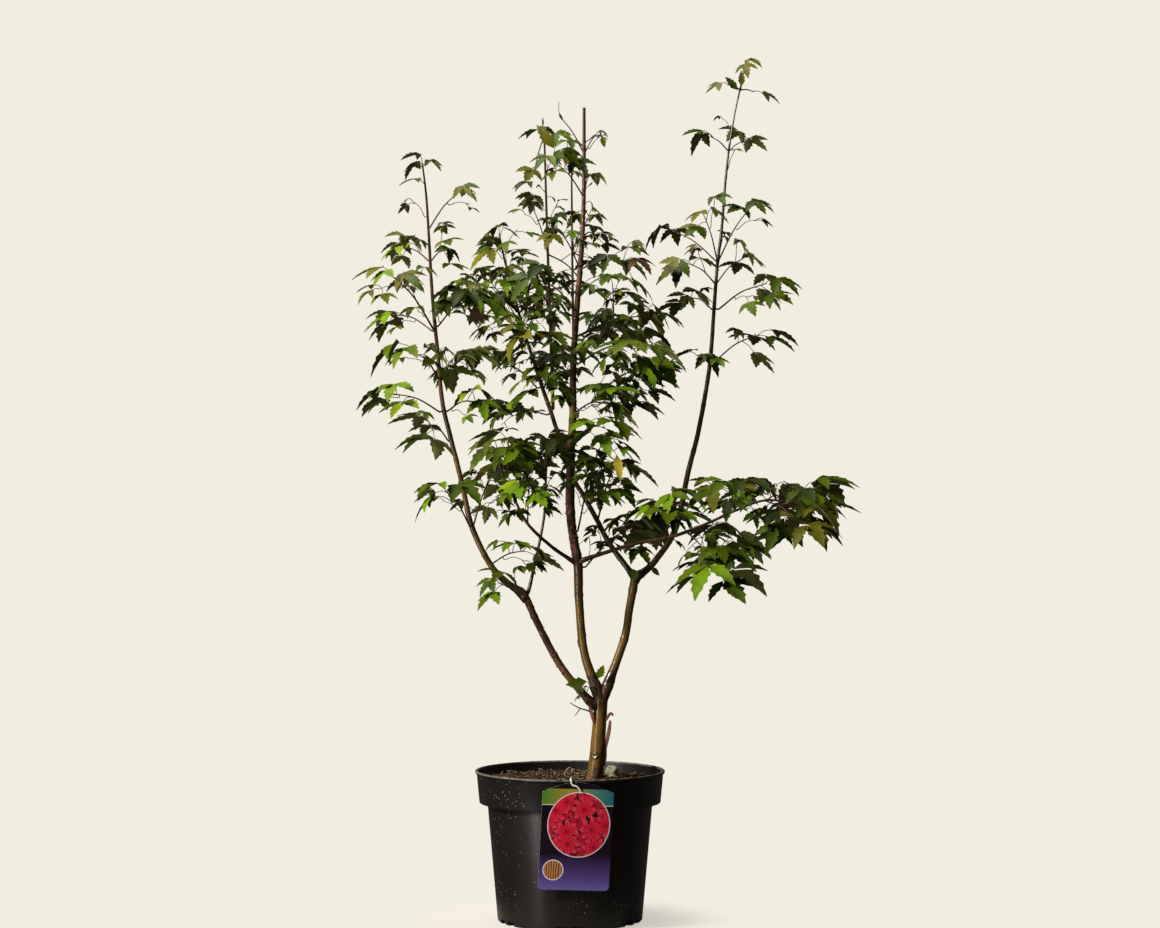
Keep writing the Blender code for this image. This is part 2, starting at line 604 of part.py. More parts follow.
def foot_on(line, spot, shape, towards):
    """The place on a limb's facet that faces a tip, a gap clear of it, with the facet's normal."""
    nearest = min(line, key=lambda p: (p.x - spot[0]) ** 2 + (p.z - spot[1]) ** 2)
    middle = Vector((nearest.x, nearest.y, spot[1] if abs(nearest.z - spot[1]) < FOOT_SPAN else nearest.z))
    for here, after in zip(line, line[1:]):
        between = min(here.z, after.z) <= spot[1] <= max(here.z, after.z)
        if after is nearest or (here is nearest and between):
            share = 0 if after.z == here.z else min(1, max(0, (spot[1] - here.z) / (after.z - here.z)))
            middle = here.xyz.lerp(after.xyz, share)
            break
    away = towards - middle
    away.z *= FOOT_RISE
    away.normalize()
    hit, normal, _, _ = shape.ray_cast(middle + away * FOOT_RAY, -away)
    return hit + normal * GAP, normal


def twig_line(foot, normal, tip, radius):
    """A twig's line: straight off the bark, then in a low arch to its tip."""
    length = (tip - foot).length
    rise = Vector((0, 0, TWIG_RISE * length))
    lead = foot + normal * min(TWIG_LEAD, TWIG_LEAD_SHARE * length)
    middle = foot.lerp(tip, 0.5) + rise
    rows = [(*point, radius * share) for point, share in zip((foot, lead, middle, tip), TWIG_TAPER)]
    return smooth_line(rows, max(TWIG_STEP, TWIG_STEP_SHARE * length))


def leaf_place(rng, root, forward, aside, length):
    """Where one leaf sits: its stalk's two ends, and the blade's three directions."""
    spread = rng.uniform(*STALK_SPREAD)
    lift = rng.uniform(*STALK_LIFT)
    stalk = (forward * rng.uniform(*STALK_AHEAD) + aside * spread + Vector((0, 0, lift))).normalized()
    joint = root + stalk * length * rng.uniform(*STALK_LENGTH)
    fall = rng.uniform(*BLADE_FALL)
    ahead = Vector((stalk.x, stalk.y, 0))
    if ahead.length < 0.2:
        ahead = Vector((forward.x, forward.y, 0)) + Vector((0.05, 0.03, 0))
    ahead = (ahead.normalized() + Vector((0, 0, -fall))).normalized()
    across = ahead.cross(Vector((0, 0, 1))).normalized()
    up = across.cross(ahead)
    roll = rng.uniform(*BLADE_ROLL)
    side = across * math.cos(roll) + up * math.sin(roll)
    return root, joint, ahead, side, side.cross(ahead)


def leaf_shape(place, length):
    """Points and faces of one leaf: a blade of three leaflets, thickest at its middle, and its stalk."""
    root, joint, ahead, side, up = place

    def on_blade(forward, aside, height=0.0):
        bend = -LEAF_FALL * forward * abs(forward) - LEAF_WING * aside * aside
        return joint + length * (ahead * forward + side * aside + up * bend) + up * height

    half = STALK_RADIUS * STALK_HALF_SHARE / length
    edge = [on_blade(-LEAF_BACK, half)] + [on_blade(f, a) for f, a in LEAF_EDGE] + [on_blade(1, 0)]
    edge += [on_blade(f, -a) for f, a in reversed(LEAF_EDGE)] + [on_blade(-LEAF_BACK, -half)]
    count = len(edge)
    points = edge + [on_blade(LEAF_HUB, 0, LEAF_HALF_THICK), on_blade(LEAF_HUB, 0, -LEAF_HALF_THICK)]
    top, under = count, count + 1
    points.append(on_blade(-LEAF_BACK, 0, -STALK_RADIUS * STALK_KEEL_SHARE))
    keel = count + 2
    stalk = (joint - root).normalized()
    wide = (side - stalk * side.dot(stalk)).normalized()
    deep = wide.cross(stalk)
    if deep.dot(up) < 0:
        deep = -deep
    points += [root + way * STALK_ROOT for way in (wide, -wide, -deep, deep)]
    right, left, low, high = range(count + 3, count + 7)
    faces = [(top, k, k + 1) for k in range(count - 1)] + [(top, count - 1, 0)]
    faces += [(under, k + 1, k) for k in range(count - 1)]
    faces += [(under, 0, keel), (under, keel, count - 1)]
    faces += [(0, count - 1, high), (0, high, right), (count - 1, left, high)]
    faces += [(right, high, left), (right, left, low)]
    faces += [(keel, 0, right), (keel, right, low), (count - 1, keel, left), (keel, low, left)]
    return points, faces


def grow(lines, shapes):
    """Every mass's twigs, each with its line and shape, and its leaves' shapes."""
    solids = [(None, shape) for shape in shapes.values()]
    masses = {}
    for name, (limb, rows) in MASSES.items():
        line, start, end = lines[limb]
        twigs = []
        main = None
        for foot, tip, count, length in rows:
            normal = None
            if foot is None:
                twig = part_of(line, end + GAP, runs(line)[-1])
                normal = heading(line, end)
            elif main is None:
                tip = Vector(tip)
                own = part_of(line, start, end)
                foot, normal = foot_on(own, foot, shapes[limb], tip)
                twig = twig_line(foot, normal, tip, TWIG_RADIUS + TWIG_GAIN * (tip - foot).length)
            else:
                tip = Vector(tip)
                near = min(main[1:], key=lambda p: (p.x - foot[0]) ** 2 + (p.z - foot[1]) ** 2)
                away = (tip - near.xyz).normalized()
                thinnest, thickest = SIDE_TWIG_RADII
                radius = max(thinnest, min(thickest, SIDE_TWIG_SHARE * near.w))
                twig = twig_line(near.xyz, away, tip, radius)
            if main is None:
                main = twig
            shape = tube(twig, STEM_END_SIDES if foot is None else TWIG_SIDES, normal)
            twigs.append((twig, shape, count, length))
        for twig, shape, _, _ in twigs:
            solids.append((name, tree_of(*shape)))
        masses[name] = dict(twigs=twigs, leaves=[])
    for number, (name, mass) in enumerate(masses.items()):
        rng = random.Random(SEEDS.get(name, FIRST_SEED + number))
        for twig, _, count, length in mass["twigs"]:
            grow_leaves(rng, name, mass["leaves"], twig, count, length, solids)
    return masses


def grow_leaves(rng, name, leaves, twig, count, length, solids):
    """One leaf at the twig's tip, then opposite pairs down the twig, each a quarter turn from the last."""
    total = runs(twig)[-1]
    start = rng.uniform(0, math.pi)
    spots = [(total - TIP_LEAF_BACK, None, TIP_LEAF_SHARE)]
    for k in range(count - 1):
        pair, second = divmod(k, 2)
        run = total - FIRST_PAIR_BACK - pair * min(PAIR_STEP_SHARE * total, PAIR_STEP) - second * PAIR_STAGGER
        spots.append((run, start + pair * math.pi / 2 + second * math.pi, 1.0 - LEAF_SHRINK * k))
    for run, turn, share in spots[:count]:
        if run < STALK_START:
            continue
        here, after = part_of(twig, run, run + 2)[0:2]
        forward = (after.xyz - here.xyz).normalized()
        flat = forward.cross(Vector((0, 0, 1)))
        flat = flat.normalized() if flat.length > 0.05 else Vector((1, 0, 0))
        for _ in range(TRIES):
            angle = (turn or 0) + rng.uniform(*TURN_SWAY)
            aside = flat * math.cos(angle) + flat.cross(forward) * math.sin(angle)
            if turn is None:
                aside = aside * TIP_LEAF_ASIDE + forward
            size = length * share * rng.uniform(*BLADE_SIZE)
            place = leaf_place(rng, here.xyz, forward, aside, size)
            shape = leaf_shape(place, size)
            if clear(name, shape, solids):
                leaves.append(shape)
                solids.append((name, tree_of(*blade_only(shape))))
                break


def blade_only(shape):
    """The blade without its stalk's root."""
    points, faces = shape
    count = len(points)
    return points, [face for face in faces if max(face) < count - 4]


def clear(name, shape, solids):
    """Whether a leaf keeps its clearance to every limb and to all that has grown."""
    points, faces = shape
    grown = swollen(points, faces)
    whole = tree_of(grown, faces)
    blade = tree_of(grown, blade_only(shape)[1])
    for owner, other in solids:
        if (blade if owner == name else whole).overlap(other):
            return False
    return True


def make_masses(masses, finish):
    """Each foliage mass as one body of its twigs and leaves."""
    for name, mass in masses.items():
        pieces = [solid(name, *shape) for _, shape, _, _ in mass["twigs"]]
        pieces += [solid(name + "_leaf", *shape) for shape in mass["leaves"]]
        join(name, pieces, finish)


def main():
    for old in list(bpy.data.objects):
        bpy.data.objects.remove(old)
    make_pot()
    make_soil()
    make_label()
    bark = material("bark", BARK, 0.6)
    leaf = material("leaf", LEAF, 0.5)
    lines = limb_lines()
    shapes = make_limbs(lines, bark)
    make_masses(grow(lines, shapes), leaf)


main()
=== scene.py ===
"""Looks of a young paperbark maple in a round nursery pot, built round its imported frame.

The tables are in millimetres, as in the part's own source, and are made into metres where a mesh is
built. +Z is up, the label faces -Y, and the origin is the centre of the pot's underside.
"""
import json
import math
import random

import bmesh
import bpy
from bpy.props import FloatProperty, FloatVectorProperty, IntProperty, PointerProperty
from mathutils import Matrix, Vector, noise
from mathutils.bvhtree import BVHTree

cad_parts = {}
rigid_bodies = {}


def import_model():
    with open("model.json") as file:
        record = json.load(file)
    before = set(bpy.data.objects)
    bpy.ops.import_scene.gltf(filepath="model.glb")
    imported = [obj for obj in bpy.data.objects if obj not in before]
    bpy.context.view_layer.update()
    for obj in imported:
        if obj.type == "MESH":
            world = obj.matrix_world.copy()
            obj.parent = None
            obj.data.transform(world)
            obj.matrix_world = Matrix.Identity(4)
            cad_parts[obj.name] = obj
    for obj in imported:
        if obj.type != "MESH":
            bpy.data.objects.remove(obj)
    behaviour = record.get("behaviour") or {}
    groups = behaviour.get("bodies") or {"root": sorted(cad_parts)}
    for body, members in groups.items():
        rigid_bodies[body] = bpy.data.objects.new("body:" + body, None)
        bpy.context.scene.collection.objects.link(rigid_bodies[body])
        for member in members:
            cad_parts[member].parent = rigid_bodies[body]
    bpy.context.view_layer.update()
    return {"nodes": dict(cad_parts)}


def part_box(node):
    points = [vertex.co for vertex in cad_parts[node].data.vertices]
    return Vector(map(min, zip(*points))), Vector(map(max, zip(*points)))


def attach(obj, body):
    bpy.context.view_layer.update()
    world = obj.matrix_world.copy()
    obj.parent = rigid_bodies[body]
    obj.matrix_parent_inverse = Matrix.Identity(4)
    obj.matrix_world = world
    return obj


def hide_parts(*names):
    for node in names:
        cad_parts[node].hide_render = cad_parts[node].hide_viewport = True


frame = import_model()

bl_info = {
    "name": "Potted Paperbark Maple",
    "version": (1, 0, 0),
    "blender": (4, 5, 0),
    "location": "3D View > Sidebar > Potted Maple",
    "description": "Dresses the packed frame of a potted maple with bark, leaves, pot, compost and label",
    "category": "Add Mesh",
}

MM = 0.001
GAP = 0.3
BODY = "root"

# Pot and compost
POT_HEIGHT = 207.2
BASE_RADIUS = 100.0
WALL_TOP_RADIUS = 114.0
COLLAR_FOOT = 163.0
COLLAR_FOOT_RADIUS = 125.2
COLLAR_TOP_RADIUS = 129.0
LIP_RADIUS = 131.0
LIP_FOOT = 203.0
WALL = 2.2
FLOOR = 3.6
POT_SIDES = 144
DRAINS = 6
DRAIN_WIDTH = 14.5
DRAIN_RIB = 6.5
DRAIN_HEIGHT = 6.5
SOIL_TOP = 194.0
MOSS_PLACE = (58.0, 52.0)
THREAD = ((-7, 40, 193, 0.35), (-7, 41, 200, 0.35), (-3, 42, 205, 0.35), (0.5, 43, 206, 0.35), (2.5, 44, 203, 0.3),
          (1.5, 44, 200, 0.3))

# Label
LABEL_WIDTH = 96.0
LABEL_SHOULDER = 191.0
LABEL_PEAK = 204.0
LABEL_FOOT = 57.0
LABEL_CORNER = 6.0
LABEL_TURN = math.radians(5.3)
LABEL_ROLL = math.radians(-2.2)
HOOK_HALF = 1.2
HOOK_THICK = 0.5
HOOK_END = 196.0

# Limbs: points of the centre line and the radius there, from the parent's middle to the tip.
LIMBS = {
    "trunk": dict(step=14, start=0, line=(
        (33, 0, SOIL_TOP + GAP, 13.6), (34, 0, 200, 11.9), (36.5, 0, 220, 10.7), (40, 0, 262, 9.6), (43, 0, 304, 9.0))),
    "left_stem_lower": dict(step=32, start=25, line=(
        (44, 0, 288, 5.0), (22, -2, 308, 5.2), (-14, -6, 353, 5.0), (-45, -10, 411, 4.9), (-58, -11, 440, 5.2),
        (-65, -12, 451, 6.0))),
    "left_stem_upper": dict(step=40, start=12, end=897, line=(
        (-62, -12, 446, 5.0), (-67, -12, 453, 5.0), (-87, -14, 467, 4.6), (-110, -17, 492, 4.2),
        (-135, -20, 544, 3.8), (-148, -24, 602, 3.5), (-165, -29, 671, 3.2), (-175, -33, 716, 3.0),
        (-181, -38, 782, 2.7), (-188, -45, 859, 2.3), (-193, -52, 950, 1.8), (-196, -57, 998, 1.5),
        (-201, -60, 1040, 1.1))),
    "centre_stem": dict(step=38, start=26, end=897, line=(
        (44, 0, 300, 6.6), (34, 0, 326, 6.6), (19, 0, 373, 5.8), (12.5, 0, 442, 5.9), (11, -1, 490, 6.6),
        (3, -3, 539, 6.2), (0, -4, 585, 6.4), (1.5, -4, 650, 5.8), (4, -3, 700, 5.2), (4.5, -2, 770, 4.4),
        (9.5, 0, 843, 4.0), (14, 1, 900, 3.6), (17, 2, 945, 3.3), (19, 3, 1000, 2.9), (19.5, 4, 1060, 2.5),
        (19.5, 4, 1123, 2.1))),
    "right_stem_lower": dict(step=32, start=34, line=(
        (43, 0, 300, 6.0), (57, 2, 337, 6.0), (76, 5, 391, 5.6), (82, 7, 428, 5.5), (89, 9, 466, 6.0),
        (91, 9, 474, 7.0))),
    "right_stem_upper": dict(step=40, start=14, end=868, line=(
        (89, 9, 467, 5.4), (94, 9, 475, 5.2), (103, 11, 481, 4.8), (119, 14, 497, 4.4), (147, 18, 541, 4.0),
        (164, 22, 618, 3.6), (178, 26, 673, 3.3), (190, 31, 737, 3.1), (196, 35, 780, 2.9), (201, 39, 848, 2.6),
        (206, 42, 912, 2.3), (212, 45, 960, 2.0), (217, 48, 1023, 1.8), (222, 50, 1068, 1.5), (230, 52, 1118, 1.2),
        (238, 53, 1155, 1.0), (245, 54, 1186, 0.8))),
    "inner_stem": dict(step=40, start=11, end=783, line=(
        (90, 9, 470, 3.8), (81, 14, 484, 3.8), (55, 22, 519, 3.7), (37, 28, 553, 3.5), (18, 33, 587, 3.4),
        (2, 38, 616, 3.3), (-26, 52, 700, 3.0), (-39, 62, 737, 2.8), (-52, 74, 777, 2.5), (-65, 84, 816, 2.2),
        (-80, 96, 871, 1.9), (-93, 104, 919, 1.5), (-101, 108, 957, 1.1))),
    "right_low_bough": dict(step=40, start=14, end_run=205, line=(
        (11, -1, 492, 2.9), (20, -6, 498, 2.9), (55, -16, 510, 2.7), (91, -24, 521, 2.6), (130, -30, 528, 2.5),
        (160, -32, 537, 2.3), (192, -30, 550, 2.1), (227, -28, 566, 1.9), (268, -26, 580, 1.6), (318, -24, 576, 1.2))),
    "left_low_bough": dict(step=40, start=14, end_run=82, line=(
        (11, -1, 490, 2.6), (2, -6, 497, 2.6), (-26, -20, 517, 2.4), (-58, -30, 548, 2.1), (-77, -36, 584, 1.8),
        (-92, -42, 614, 1.4), (-100, -48, 652, 1.1))),
    "knuckle_shoot": dict(step=40, start=8.5, end_run=128, line=(
        (-63, -12, 448, 2.4), (-57, -6, 456, 2.4), (-50, 0, 486, 2.2), (-41, 6, 528, 2.0), (-35, 10, 566, 1.8),
        (-33, 11, 622, 1.5), (-30, 12, 662, 1.1))),
}

# Foliage masses: the limb that carries each one, then its twigs. A twig is the point of its foot as seen from the
# front (x, z), its tip (x, y, z), its number of leaves and the length of a blade. Where the first twig's foot is
# None, the mass goes on along its limb's own line.
MASSES = {
    "right_crown": ("right_stem_upper", (
        (None, None, 2, 30), ((238, 1150), (220, 44, 1160), 1, 36), ((237, 1147), (258, 60, 1152), 1, 34),
        ((221, 1066), (196, 30, 1086), 2, 46), ((221, 1066), (244, 72, 1084), 2, 44),
        ((206, 918), (249, 0, 985), 3, 46), ((206, 918), (140, 92, 962), 3, 48), ((209, 932), (186, -22, 968), 3, 46),
        ((203, 883), (246, 112, 922), 3, 44), ((203, 883), (166, -8, 906), 3, 48))),
    "right_spray_1": ("right_stem_upper", (((200, 846), (272, 6, 880), 4, 52),)),
    "right_spray_2": ("right_stem_upper", (((200, 846), (168, 104, 866), 3, 46),)),
    "right_spray_3": ("right_stem_upper", (((195, 771), (266, 76, 812), 4, 52),)),
    "right_spray_4": ("right_stem_upper", (((195, 771), (174, -8, 780), 2, 42),)),
    "low_right_end": ("right_low_bough", (
        (None, None, 4, 62), ((228, 566), (214, -92, 598), 4, 50), ((262, 578), (308, -82, 552), 4, 60),
        ((262, 578), (300, 46, 582), 4, 58), ((300, 578), (338, 2, 594), 2, 56))),
    "low_right_1": ("right_low_bough", (((128, 528), (138, -84, 578), 4, 54),)),
    "low_right_2": ("right_low_bough", (((140, 531), (122, 62, 560), 4, 54),)),
    "low_right_3": ("right_low_bough", (((160, 537), (202, -86, 482), 4, 58),)),
    "low_right_4": ("right_low_bough", (((176, 543), (222, 60, 520), 4, 58),)),
    "left_crown": ("left_stem_upper", (
        (None, None, 4, 38), ((-194, 966), (-152, -92, 996), 2, 46), ((-191, 915), (-230, -8, 930), 4, 46),
        ((-191, 915), (-166, -104, 918), 3, 42))),
    "left_spray_1": ("left_stem_upper", (((-185, 814), (-238, -128, 882), 4, 46),)),
    "left_spray_2": ("left_stem_upper", (((-185, 812), (-248, 26, 838), 4, 46),)),
    "left_spray_3": ("left_stem_upper", (((-185, 818), (-132, -112, 852), 4, 50), ((-160, 836), (-104, -62, 884), 3, 46))),
    "left_spray_4": ("left_stem_upper", (((-178, 748), (-206, -128, 778), 4, 52),)),
    "left_spray_5": ("left_stem_upper", (((-178, 748), (-156, 44, 782), 4, 50),)),
    "left_spray_6": ("left_stem_upper", (((-173, 702), (-242, -52, 726), 4, 50),)),
    "left_spray_7": ("left_stem_upper", (((-173, 702), (-124, -110, 714), 4, 50),)),
    "left_spray_8": ("left_stem_upper", (((-163, 662), (-196, 48, 680), 4, 52),)),
    "left_spray_9": ("left_stem_upper", (((-143, 566), (-168, -92, 594), 3, 50),)),
    "left_spray_10": ("left_stem_upper", (((-143, 570), (-110, 52, 612), 4, 48), ((-128, 588), (-96, -14, 640), 3, 44))),
    "left_spray_11": ("left_stem_upper", (((-111, 494), (-62, -66, 512), 4, 46),)),
    "left_spray_12": ("left_stem_lower", (((-60, 444), (-98, -50, 468), 3, 42),)),
    "low_left_end": ("left_low_bough", (
        (None, None, 4, 48), ((-60, 552), (-56, -88, 596), 3, 42), ((-86, 600), (-82, -112, 656), 4, 48))),
    "knuckle_end": ("knuckle_shoot", ((None, None, 4, 50), ((-34, 600), (-54, 74, 644), 4, 46))),
    "centre_crown": ("centre_stem", (
        (None, None, 0, 30),
        ((19.5, 1075), (-11, 6, 1108), 0, 22), ((19.5, 1075), (38, 2, 1088), 1, 20),
        ((19, 995), (-20, -64, 1040), 4, 52), ((19, 1000), (26, 60, 1034), 2, 36),
        ((14.5, 910), (-20, -70, 954), 3, 44), ((13.5, 905), (78, -48, 908), 5, 54),
        ((17, 938), (36, 66, 952), 3, 44))),
    "centre_spray_1": ("centre_stem", (((7, 808), (110, -30, 834), 4, 54), ((50, 824), (58, -78, 872), 3, 48))),
    "centre_spray_2": ("centre_stem", (((7, 808), (72, 108, 818), 4, 54),)),
    "centre_spray_3": ("centre_stem", (((5, 768), (96, -112, 790), 4, 56),)),
    "centre_spray_4": ("centre_stem", (((4.5, 742), (92, 26, 730), 4, 54), ((50, 740), (116, -32, 766), 2, 50))),
    "centre_spray_5": ("centre_stem", (((4, 700), (52, -104, 712), 4, 54),)),
    "centre_spray_6": ("centre_stem", (((7, 534), (44, -60, 660), 5, 52),)),
    "centre_spray_7": ("centre_stem", (((12, 486), (88, 4, 545), 3, 50),)),
    "centre_spray_8": ("centre_stem", (((9.5, 843), (-40, -88, 878), 4, 52),)),
    "centre_spray_9": ("centre_stem", (((5, 790), (-54, -110, 802), 4, 52),)),
    "centre_spray_10": ("centre_stem", (((4.5, 740), (-48, -90, 742), 4, 52),)),
    "inner_crown": ("inner_stem", (
        (None, None, 5, 42), ((-70, 834), (-108, 44, 880), 4, 46), ((-66, 818), (-30, 152, 862), 4, 48),
        ((-78, 864), (-48, 60, 896), 3, 44), ((-56, 792), (-98, 16, 832), 4, 46))),
    "inner_spray_1": ("inner_stem", (((-45, 755), (-100, 66, 776), 4, 50),)),
    "inner_spray_2": ("inner_stem", (((-45, 757), (-12, 166, 780), 4, 50),)),
    "inner_spray_3": ("inner_stem", (((-27, 702), (-88, 72, 702), 4, 50),)),
    "inner_spray_4": ("inner_stem", (((37, 553), (64, 104, 628), 4, 52),)),
    "upright_1": ("inner_stem", (
        ((-27, 704), (-36, 36, 1088), 3, 50), ((-20, 960), (-52, 84, 990), 2, 44), ((-24, 1010), (-50, 6, 1034), 2, 44),
        ((-12, 860), (22, 116, 884), 3, 50))),
    "upright_2": ("centre_stem", (
        ((4, 738), (2, 34, 1060), 3, 34), ((-1, 950), (26, 84, 976), 2, 40), ((-4, 880), (26, 80, 904), 2, 46))),
    "fork_spray": ("trunk", (((40, 296), (20, -24, 318), 3, 28),)),
}

# The source's rule of growth
LEAF_EDGE = ((0.370, 0.700), (0.440, 0.350), (0.160, 0.080), (0.520, 0.240))
LEAF_HUB = 0.04
SEEDS = {"centre_crown": 202, "left_spray_1": 201, "left_spray_3": 201, "upright_1": 201, "inner_spray_3": 201}
LEAF_HALF_THICK = 1.1
LEAF_FALL = 0.16
LEAF_WING = 0.28
STALK_RADIUS = 0.8
STALK_ROOT = 0.5
STALK_START = 7.0
TRIES = 10
CLEARANCE = 0.5

# The scene's finer growth: how far it may stand out of a mass's own box, and its share of a leaf's full size
REACH = 6.0
SHOOT_LENGTHS = (14.0, 40.0)
SHOOT_LEAF = (0.38, 0.75)
BARE_TWIG = 0.66
THICKET = {"centre_spray": 2.2, "inner": 2.0, "left_spray_3": 3.2, "left_spray_11": 2.0, "left_spray_1": 1.0,
           "left_spray_5": 2.0, "left_spray_7": 2.0, "left_spray": 0.6,
           "centre_crown": 0.4, "upright": 0.5, "right_crown": 0.25, "right_spray": 0.4, "left_crown": 0.25,
           "low_right": 1.6, "low_left": 2.0, "knuckle_end": 2.0, "fork_spray": 0.0}

# One leaflet's half outline: along it and out from its rib, as shares of its length, with coarse teeth
LEAFLET = ((0.0, 0.0), (0.10, 0.060), (0.24, 0.150), (0.40, 0.240), (0.455, 0.175), (0.60, 0.222), (0.655, 0.140),
           (0.78, 0.148), (0.83, 0.082), (0.92, 0.050), (1.0, 0.0))
RIB = (0.0, 0.16, 0.40, 0.62, 0.82, 1.0)
SIDE_TURN = math.radians(52)
SIDE_LENGTH = 0.80
LEAF_SKIN = 0.35
LEAF_LIFT = 0.30
LEAF_SIZES = {"centre_crown": 0.80, "upright": 0.78, "right_crown": 0.95, "left_crown": 0.85, "fork": 0.6,
              "low_right": 1.14, "low_left": 1.06, "knuckle_end": 1.10, "left_spray": 1.04, "centre_spray": 1.04}

# Leaf finishes dealt out by spray: the shares of each finish, by the start of a mass's name.
# The two darkest and the two lightest are copies of the mid green: painted shade, dealt more to the inner and
# lower masses, and painted light, dealt more to the lit left side. Olive and maroon are the leaves' own tints.
LEAF_NAMES = ("leaf_in_deep_shade", "leaf_in_shade", "leaf_mid", "leaf_bright", "leaf_lit_strong", "leaf_olive", "leaf_maroon")
LEAF_TONES = {
    "low_right": (4, 7, 8, 3, 1, 3, 0), "right_crown": (3, 3, 4, 1, 0, 8, 3), "right_spray": (3, 3, 6, 2, 0, 6, 1),
    "left_crown": (1, 2, 4, 3, 1, 6, 2), "left_spray": (1, 4, 7, 5, 2, 3, 0), "centre_crown": (2, 2, 4, 1, 0, 5, 4),
    "upright": (2, 2, 4, 1, 0, 5, 4), "inner_crown": (2, 3, 6, 3, 1, 4, 1), "inner_spray": (3, 5, 6, 2, 1, 2, 0),
    "centre_spray": (5, 6, 6, 2, 1, 2, 0), "low_left": (2, 5, 8, 4, 1, 1, 0), "knuckle_end": (3, 6, 7, 2, 0, 1, 0),
    "fork_spray": (1, 3, 4, 1, 0, 0, 0)}
TONE_SHIFT = 0.35
# The leaf nearest this spot takes the lightest copy of the green: painted light.
LIT_LEAF_SPOT = (-159, 733)
# A share TONE_SHIFT of leaflets take their finish's neighbour here, mostly the next darker copy: painted shade between
# the leaflets of a leaf.
NEAR_TONE = {0: 1, 1: 0, 2: 1, 3: 2, 4: 3, 5: 1, 6: 0}
DEAD_LEAF = dict(root=(-132, -112, 852), hang=(-125, -132, 851), ahead=(-0.12, -0.30, -0.95), size=40)
DEAD_TWIG = (((34, -5, 285, 1.3), (24, -9, 290, 1.1), (12, -12, 294, 0.9), (0, -13, 301, 0.6)),
             ((14, -12, 293, 0.8), (9, -15, 286, 0.6), (6, -16, 283, 0.4)))

# Buds and bare twiglets among the highest shoots, each a line of points with its radius
BUDS = (((-10, 6, 1106, 0.8), (-13, 6, 1111, 2.0), (-15, 6, 1116, 0.6)),
        ((-15, 6, 1116, 0.5), (-16, 6, 1124, 0.4), (-15, 6, 1131, 0.5)),
        ((2.2, 34, 1058, 0.8), (2.4, 33, 1064, 1.8), (2.6, 33, 1069, 1.6), (2.8, 33, 1074, 0.6)),
        ((-36, 36, 1084, 0.8), (-38, 34, 1094, 1.3), (-38, 34, 1100, 0.6), (-38, 34, 1106, 1.4), (-38, 34, 1113, 0.5)),
        ((19, 4, 1074, 0.9), (27, 4, 1079, 0.7), (32, 4, 1083, 1.5), (36, 4, 1086, 0.5)),
        ((-34, 34, 1008, 0.7), (-40, 28, 1014, 0.5), (-44, 26, 1018, 1.3), (-47, 25, 1014, 0.5)),
        ((-33, 34, 1002, 0.7), (-26, 28, 1002, 0.5), (-22, 26, 998, 1.3), (-21, 25, 994, 0.4)),
        ((19, 4, 1008, 0.7), (25, 0, 1014, 0.5), (29, -2, 1017, 1.2), (31, -2, 1020, 0.4)),
        ((18, 4, 986, 0.7), (25, -2, 993, 0.5), (30, -3, 990, 0.7), (31, -3, 983, 1.2), (31, -3, 978, 0.4)))

# Single leaves seen in the photo: where the stalk starts, where the blade starts, its direction, its length, its
# breadth against a leaflet's and its finish
SINGLE_LEAVES = (
    ((33, -11, 312), (25, -16, 331), (-0.86, -0.20, -0.42), 31, 1.35, "leaf_in_shade"),
    ((40, -10, 322), (38, -12, 333), (0.50, -0.25, 0.82), 22, 1.25, "leaf_mid"),
    ((88, 2, 478), (87, -2, 486), (0.10, -0.45, -0.90), 19, 1.7, "leaf_in_shade"),
    ((106, 8, 485), (112, 4, 488), (0.55, -0.30, -0.78), 17, 1.2, "leaf_in_shade"),
    ((-26, 30, 1050), (-20, 20, 1066), (-0.60, -0.15, 0.78), 48, 1.05, "leaf_olive"),
    ((2, 34, 1040), (-8, 24, 1046), (0.50, -0.30, 0.78), 25, 1.7, "leaf_olive"),
    ((32, 4, 1083), (44, 2, 1084), (0.10, -0.15, -0.98), 17, 1.2, "leaf_mid"),
    ((46, -60, 658), (63, -66, 645), (0.12, -0.25, -0.95), 40, 1.0, "leaf_yellow"),
    ((239, 53, 1152), (240, 52, 1157), (-0.12, -0.20, 0.95), 26, 0.9, "leaf_olive"),
    ((238, 53, 1150), (236, 50, 1152), (-0.75, -0.30, 0.45), 30, 1.1, "leaf_in_shade"),
)

# Bark: papery stretches as (limb, lowest, highest, strength), and a pruning scar on the trunk's face
PAPERY = (("trunk", 180, 210, 0.55), ("trunk", 215, 320, 0.10), ("centre_stem", 290, 352, 0.20),
          ("centre_stem", 352, 480, 0.05), ("centre_stem", 490, 672, 1.0), ("centre_stem", 672, 1010, 0.55),
          ("right_stem_lower", 290, 348, 0.15), ("right_stem_lower", 348, 480, 0.04),
          ("left_stem_lower", 280, 336, 0.35), ("left_stem_lower", 336, 455, 0.70))

